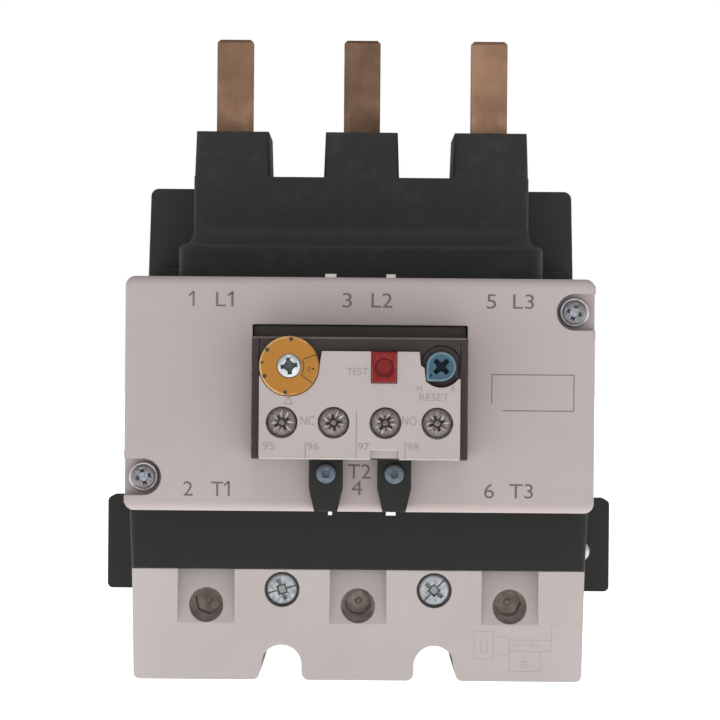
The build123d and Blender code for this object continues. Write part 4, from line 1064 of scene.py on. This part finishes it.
def stroke(start, end, width, depth):
    """Thin bar of ink between two points of x and height."""
    (x1, z1), (x2, z2) = start, end
    run = math.hypot(x2 - x1, z2 - z1)
    nx, nz = -(z2 - z1) / run * width / 2, (x2 - x1) / run * width / 2
    outline = [(x1 + nx, z1 + nz), (x2 + nx, z2 + nz), (x2 - nx, z2 - nz), (x1 - nx, z1 - nz)]
    piece = to_object("stroke", prism(outline, 0.02, -0.02))
    piece.data.transform(Matrix.Translation(at(0, 0, depth)) @ to_front)
    return piece


def strokes(lines, width, depth):
    """Bars of one width, each between a pair of points."""
    return [stroke(start, end, width, depth) for start, end in lines]


def print_on(name, parts, body, look):
    """Joins letters and strokes into one printed layer that rides on a body."""
    still = Matrix.Identity(4)
    return settle(name, [(part, still) for part in parts], look, body)


print("ink and letters ready")

# %% Pole numbers on the front cover
cover_face, pole_letter = 100.0, 3.05
upper_line, lower_line, middle_line = 78.1, 40.2, 43.9
pole_words = (
    ("1", -33.55, -33.15, upper_line), ("L1", -28.9, -25.35, upper_line),
    ("3", -3.6, -1.7, upper_line), ("L2", 2.2, 6.4, upper_line), ("5", 25.2, 27.15, upper_line),
    ("L3", 30.5, 34.7, upper_line), ("2", -35.1, -33.2, lower_line),
    ("T1", -29.5, -25.8, lower_line), ("T2", -2.3, 2.35, middle_line),
    ("4", -1.5, 0.65, lower_line + 0.4), ("6", 25.0, 27.0, lower_line),
    ("T3", 30.0, 34.8, lower_line),
)
pole_parts = [
    lettering(word, left, right, line, cover_face, pole_letter)
    for word, left, right, line in pole_words
]
# The font's figure one is a bare bar, so each gets its flag
for x, line in ((-33.3, upper_line), (-25.5, upper_line), (-25.95, lower_line)):
    flag = line + pole_letter
    pole_parts.append(stroke((x, flag - 0.1), (x - 1.0, flag - 0.95), 0.36, cover_face))
cover_print = print_on("pole_numbers", pole_parts, "casing", "ink")
frame_left, frame_right, frame_low, frame_high, frame_width = 26.4, 42.8, 57.7, 64.9, 0.18
frame_lines = (
    ((frame_left, frame_high), (frame_right, frame_high)),
    ((frame_right, frame_high), (frame_right, frame_low)),
    ((frame_right, frame_low), (frame_left + 2.2, frame_low)),
    ((frame_left, frame_high), (frame_left, frame_low + 1.4)),
)
frame_print = print_on("label_frame", strokes(frame_lines, frame_width, cover_face),
                       "casing", "ink")
print("printed", cover_print.name, frame_print.name)

# %% Words and numbers on the module
module_face, small_letter, tall_letter, knob_letter = 112.0, 1.5, 1.85, 1.35
number_line, knob_line, module_line = 49.9, 61.5, 0.2
module_words = (
    ("TEST", -2.6, 1.55, 64.65, small_letter), ("RESET", 11.7, 17.55, 59.7, small_letter),
    ("H", 11.2, 12.15, knob_line, knob_letter), ("A", 17.9, 18.75, knob_line, knob_letter),
    ("NC", -11.6, -8.85, 54.75, tall_letter), ("NO", 8.35, 11.25, 54.85, tall_letter),
    ("95", -18.95, -16.7, number_line, small_letter),
    ("96", -10.3, -7.9, number_line, small_letter),
    ("97", -0.25, 1.95, number_line, small_letter), ("98", 9.4, 11.7, number_line, small_letter),
)
module_lines = (
    ((-10.6, 48.3), (-10.6, 51.6)), ((-0.62, 48.3), (-0.62, 57.4)), ((8.97, 48.3), (8.97, 51.6)),
    ((-14.75, 58.85), (-13.97, 60.2)), ((-13.97, 60.2), (-13.19, 58.85)),
    ((-13.19, 58.85), (-14.75, 58.85)),
)
module_print = print_on(
    "module_words",
    [lettering(word, left, right, line, module_face, size)
     for word, left, right, line, size in module_words]
    + strokes(module_lines, module_line, module_face),
    "casing", "pale_ink",
)
print("printed", module_print.name)

# %% [markdown]
# Thin lips finish the mouldings of the module, all of them painted light or shade: a pale line
# of painted highlight along the top of its dark case, painted highlights on the lower edge of the
# face and of the latch, a lighter front painted on the case's upper step where it lies in shade,
# a painted highlight on the rim of the dial, painted highlights on the edges of the test button
# with a ring of painted shade in its dish, and white painted highlights on the tips of the snap
# hooks that hold the cover.

# %% Lips, rims and tips: painted highlights and shade
bezel_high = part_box("module_bezel")[1] / mm
plate_low, plate_high = (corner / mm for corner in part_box("module_front_plate"))
case_low, case_high = (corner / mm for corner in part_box("module_case"))
lip_height, lip_front = bezel_high.z + foot - 0.2, 110.42
# Painted highlight along the top edge of the module's case
case_edge_highlight = print_on(
    "module_case_lip_highlight",
    [stroke((case_low.x + 0.2, lip_height), (case_high.x - 0.2, lip_height), 0.34, lip_front)],
    "casing", "case_lip",
)
hump_front, hump_middle, hump_strip, hump_half = 97.0, 73.25, 2.26, 21.28
# Lighter front painted on the case's upper step, as painted light where it lies in shade
hump_face_painted_light = print_on(
    "module_case_front_painted_light",
    [stroke((-hump_half, hump_middle), (hump_half, hump_middle), hump_strip, hump_front)],
    "casing", "case_front",
)
plate_bottom = plate_low.z + foot + 0.14
latch_left, latch_right, latch_top = 2.2, 7.85, 49.98
# Painted highlights along the lower edge of the face and round the latch
plate_lights = print_on(
    "module_plate_edge_highlights",
    [stroke((plate_low.x + 0.1, plate_bottom), (2.15, plate_bottom), 0.24, module_face),
     stroke((latch_right, plate_bottom), (plate_high.x - 0.1, plate_bottom), 0.24, module_face),
     stroke((latch_left, latch_top), (latch_right, latch_top), 0.2, module_face),
     stroke((7.9, latch_top), (7.9, plate_bottom), 0.16, module_face)],
    "casing", "plate_edge",
)
dial_face_place = front_place(dial_x, dial_height, dial_face)
# Painted highlight on the dial's rim
rim = to_object("rim", swept_arc([
    (5.5, 0.0), (5.56, 0.015), (5.62, 0.0), (5.86, -0.26), (5.8, -0.32), (5.5, -0.02),
], 50, 262))
rim_highlight_piece = settle("dial_rim", [(rim, dial_face_place)], "dial_rim", "dial")
test_x, test_height, dish_floor = 4.77, 66.24, 111.7
# Ring of painted shade on the floor of the test button's dish
dish_shade_ring = to_object("dish_shade_ring", lathe([
    (1.5, -0.02), (1.5, 0.02), (1.7, 0.02), (1.7, -0.02), (1.5, -0.02),
]))
shade_ring_piece = settle("test_dish_shade_ring", [(dish_shade_ring, front_place(test_x, test_height, dish_floor))],
                    "test_ring", "test")
test_left, test_right, test_low, test_front = 2.45, 7.09, 63.27, 112.3
# Painted highlights on the edges of the test button
test_lights = print_on(
    "test_button_edges",
    [stroke((test_right, test_low), (test_right, test_low + 5.6), 0.16, test_front),
     stroke((test_left, test_low), (test_right, test_low), 0.14, test_front),
     stroke((test_left, test_low), (test_left, test_low + 3.4), 0.12, test_front)],
    "test", "test_edge",
)
hook_front = 79.0
hooks = [(-7.3, -5.0, 84.2, 85.25), (5.3, 7.2, 84.2, 85.25),
         (-6.3, -5.5, 35.65, 36.7), (5.6, 7.6, 35.65, 36.7)]
# Painted highlights on the tips of the snap hooks
tips = print_on(
    "hook_tip_highlights",
    [stroke((left, (low + high) / 2), (right, (low + high) / 2), high - low, hook_front)
     for left, right, low, high in hooks],
    "casing", "hook_tip",
)
lips = (case_edge_highlight, hump_face_painted_light, plate_lights, rim_highlight_piece, shade_ring_piece, test_lights, tips)
print("lips:", [piece.name for piece in lips])

# %% [markdown]
# The terminal cover carries a faint wiring diagram in its lower right corner. It is moulded in
# the cover's own plastic, so only its edges show; its strokes are painted a little darker than
# the cover, as painted shade along those edges. It is a plain diagram of blocks and links.

# %% Wiring diagram on the terminal cover
finish["raised_marks"] = two_tone(
    "moulded_marks_painted_shade", (176, 167, 164), (166, 156, 154), 0.5, 6000.0, 0.000012, 0.5
)
terminal_face, diagram_line = 61.0, 0.2


def box_lines(left, right, low, high):
    """Four sides of a block of the diagram."""
    return [((left, low), (right, low)), ((right, low), (right, high)),
            ((right, high), (left, high)), ((left, high), (left, low))]


diagram = box_lines(24.5, 28.6, 4.7, 10.6) + box_lines(31.9, 40.9, 6.4, 8.8)
diagram += [
    ((31.9, 6.4), (31.9, 2.2)), ((31.9, 2.2), (38.6, 2.2)), ((38.6, 2.2), (38.6, 6.4)),
    ((28.8, 9.5), (31.6, 9.5)), ((28.8, 5.7), (31.5, 5.7)), ((40.9, 8.8), (40.9, 12.0)),
    ((40.9, 12.0), (42.6, 12.0)), ((32.1, 7.6), (33.7, 7.6)), ((36.7, 7.6), (38.6, 7.6)),
    ((36.2, 7.0), (37.0, 8.2)), ((33.8, 6.9), (34.4, 8.2)), ((25.9, 6.3), (27.3, 6.3)),
    ((25.9, 6.3), (25.9, 8.6)), ((27.3, 6.3), (27.3, 8.6)), ((34.4, 3.0), (36.0, 3.0)),
    ((34.4, 3.6), (36.0, 3.6)), ((34.4, 4.2), (36.0, 4.2)), ((35.2, 4.2), (35.2, 5.6)),
]
diagram_print = print_on(
    "wiring_diagram", strokes(diagram, diagram_line, terminal_face),
    "casing", "raised_marks",
)
print(diagram_print.name, len(diagram), "lines")

# %% [markdown]
# The dial has a scale of dots near its rim and a marked sector with a plain number. They ride on
# the dial, so they turn with it.

# %% Scale of the dial
finish["scale_ink"] = two_tone(
    "scale_ink", (34, 28, 22), (52, 44, 34), 0.5, 6000.0, 0.000008, 0.4
)
dots = [(0.38, 5.25, 0.4), (-4.32, 3.15, 0.42), (-5.3, 0.64, 0.3), (-4.8, -2.03, 0.42),
        (-0.7, -5.2, 0.4)]
scale_parts = []
for dx, dz, radius in dots:
    dot = to_object("dot", lathe([(0, -0.02), (radius, -0.02), (radius, 0.02), (0, 0.02)], 20))
    dot.data.transform(front_place(dial_x + dx, dial_height + dz, dial_face))
    scale_parts.append(dot)


def dial_line(start, end, width):
    """Stroke on the dial's face, between two points measured from its centre."""
    return stroke((dial_x + start[0], dial_height + start[1]),
                  (dial_x + end[0], dial_height + end[1]), width, dial_face)


sector_radius, sector_line, side_line = 2.9, 0.16, 0.17
scale_parts += [dial_line((2.82, 1.38), (5.36, 2.22), side_line),
                dial_line((2.39, -1.7), (4.61, -3.37), side_line)]
sector = [polar(sector_radius, math.radians(angle)) for angle in range(26, -37, -7)]
scale_parts += [dial_line(start, end, sector_line) for start, end in zip(sector, sector[1:])]
scale_parts.append(lettering(
    "2", dial_x + 3.6, dial_x + 4.2, dial_height - 1.0, dial_face, 0.9))
scale_parts.append(dial_line((4.45, -0.55), (5.0, -0.55), 0.3))
dial_print = print_on("dial_scale", scale_parts, "dial", "scale_ink")
print("printed", dial_print.name)

# %% [markdown]
# ## Stage
#
# The photograph is a catalogue picture: white ground, a soft light close to the camera, and
# white card at both sides and above. A pale floor that glows and a sky that only the camera sees
# as white stand in for the paper, and area lights for the lamps and cards.

# %% Floor
floor_glow, floor_radius = 1.15, 6.0
floor_material = two_tone(
    "paper_floor", (246, 245, 243), (243, 242, 240), 0.85, 1500.0, 0.00002, 0.3, tone_scale=3.0
)
glow = floor_material.node_tree.nodes["Principled BSDF"].inputs
glow["Emission Color"].default_value = (1.0, 1.0, 1.0, 1.0)
glow["Emission Strength"].default_value = floor_glow
floor_shell = bmesh.new()
bmesh.ops.create_circle(floor_shell, cap_ends=True, segments=64, radius=floor_radius)
floor = to_object("floor", floor_shell)
floor.location.z = -foot * mm
floor.data.materials.append(floor_material)
print("floor at", round(floor.location.z, 5))

# %% Sky and lamps
world = bpy.data.worlds.new("studio")
scene.world = world
world.use_nodes = True
sky = world.node_tree
ambient = sky.nodes["Background"]
ambient.inputs["Color"].default_value = (1.0, 0.99, 0.985, 1.0)
ambient.inputs["Strength"].default_value = 0.28
paper = add_node(sky, "ShaderNodeBackground", {"Color": (255, 255, 255), "Strength": 1.0})
seen = add_node(sky, "ShaderNodeLightPath")
either = add_node(sky, "ShaderNodeMixShader", {
    "Fac": seen.outputs["Is Camera Ray"], 1: ambient.outputs[0], 2: paper.outputs[0]})
sky.links.new(either.outputs[0], sky.nodes["World Output"].inputs["Surface"])


def lamp(name, place, aim, size, power):
    """Rectangular area light at a place, aimed at a point; places in metres."""
    light = bpy.data.lights.new(name, "AREA")
    light.shape = "RECTANGLE"
    light.size, light.size_y = size
    light.energy = power
    piece = bpy.data.objects.new(name, light)
    scene.collection.objects.link(piece)
    piece.location = place
    direction = Vector(aim) - Vector(place)
    piece.rotation_euler = direction.to_track_quat("-Z", "Y").to_euler()
    return piece


target = (0, -0.06, 0.04)
lamps = [lamp(name, place, target, size, power) for name, place, size, power in (
    ("key", (0.05, -1.25, 0.12), (0.5, 0.4), 1.25),
    ("left_card", (-1.1, -0.7, 0.35), (0.7, 1.2), 1.6),
    ("right_card", (1.2, -0.5, 0.3), (0.7, 1.2), 1.2),
    ("top_card", (0.0, -0.55, 1.1), (1.2, 0.8), 2.2),
    ("spark", (0.0, -0.75, 0.85), (0.3, 0.12), 1.0),
    ("left_rim", (-0.9, 0.35, 0.25), (0.7, 1.0), 1.2),
    ("right_rim", (0.9, 0.35, 0.25), (0.7, 1.0), 1.2),
)]
print("lamps:", [light.name for light in lamps])

# %% [markdown]
# ## Camera
#
# The camera was found by matching corners at four depths of the relay: it stands 801 mm in
# front of the rear face, 67.6 mm above the foot and looks straight back, and the picture is
# turned by about half a degree.

# %% Camera
camera_data = bpy.data.cameras.new("camera")
camera_data.sensor_width, camera_data.lens = 36.0, 175.4
eye_height, eye_distance, picture_turn = 67.6, 801.0, -0.477
camera = bpy.data.objects.new("camera", camera_data)
scene.collection.objects.link(camera)
camera.location = at(0.0, eye_height, eye_distance)
camera.rotation_euler = (math.radians(90.0), math.radians(picture_turn), 0.0)
scene.camera = camera
scene.view_settings.view_transform = "Standard"
print("camera at", [round(value, 4) for value in camera.location])
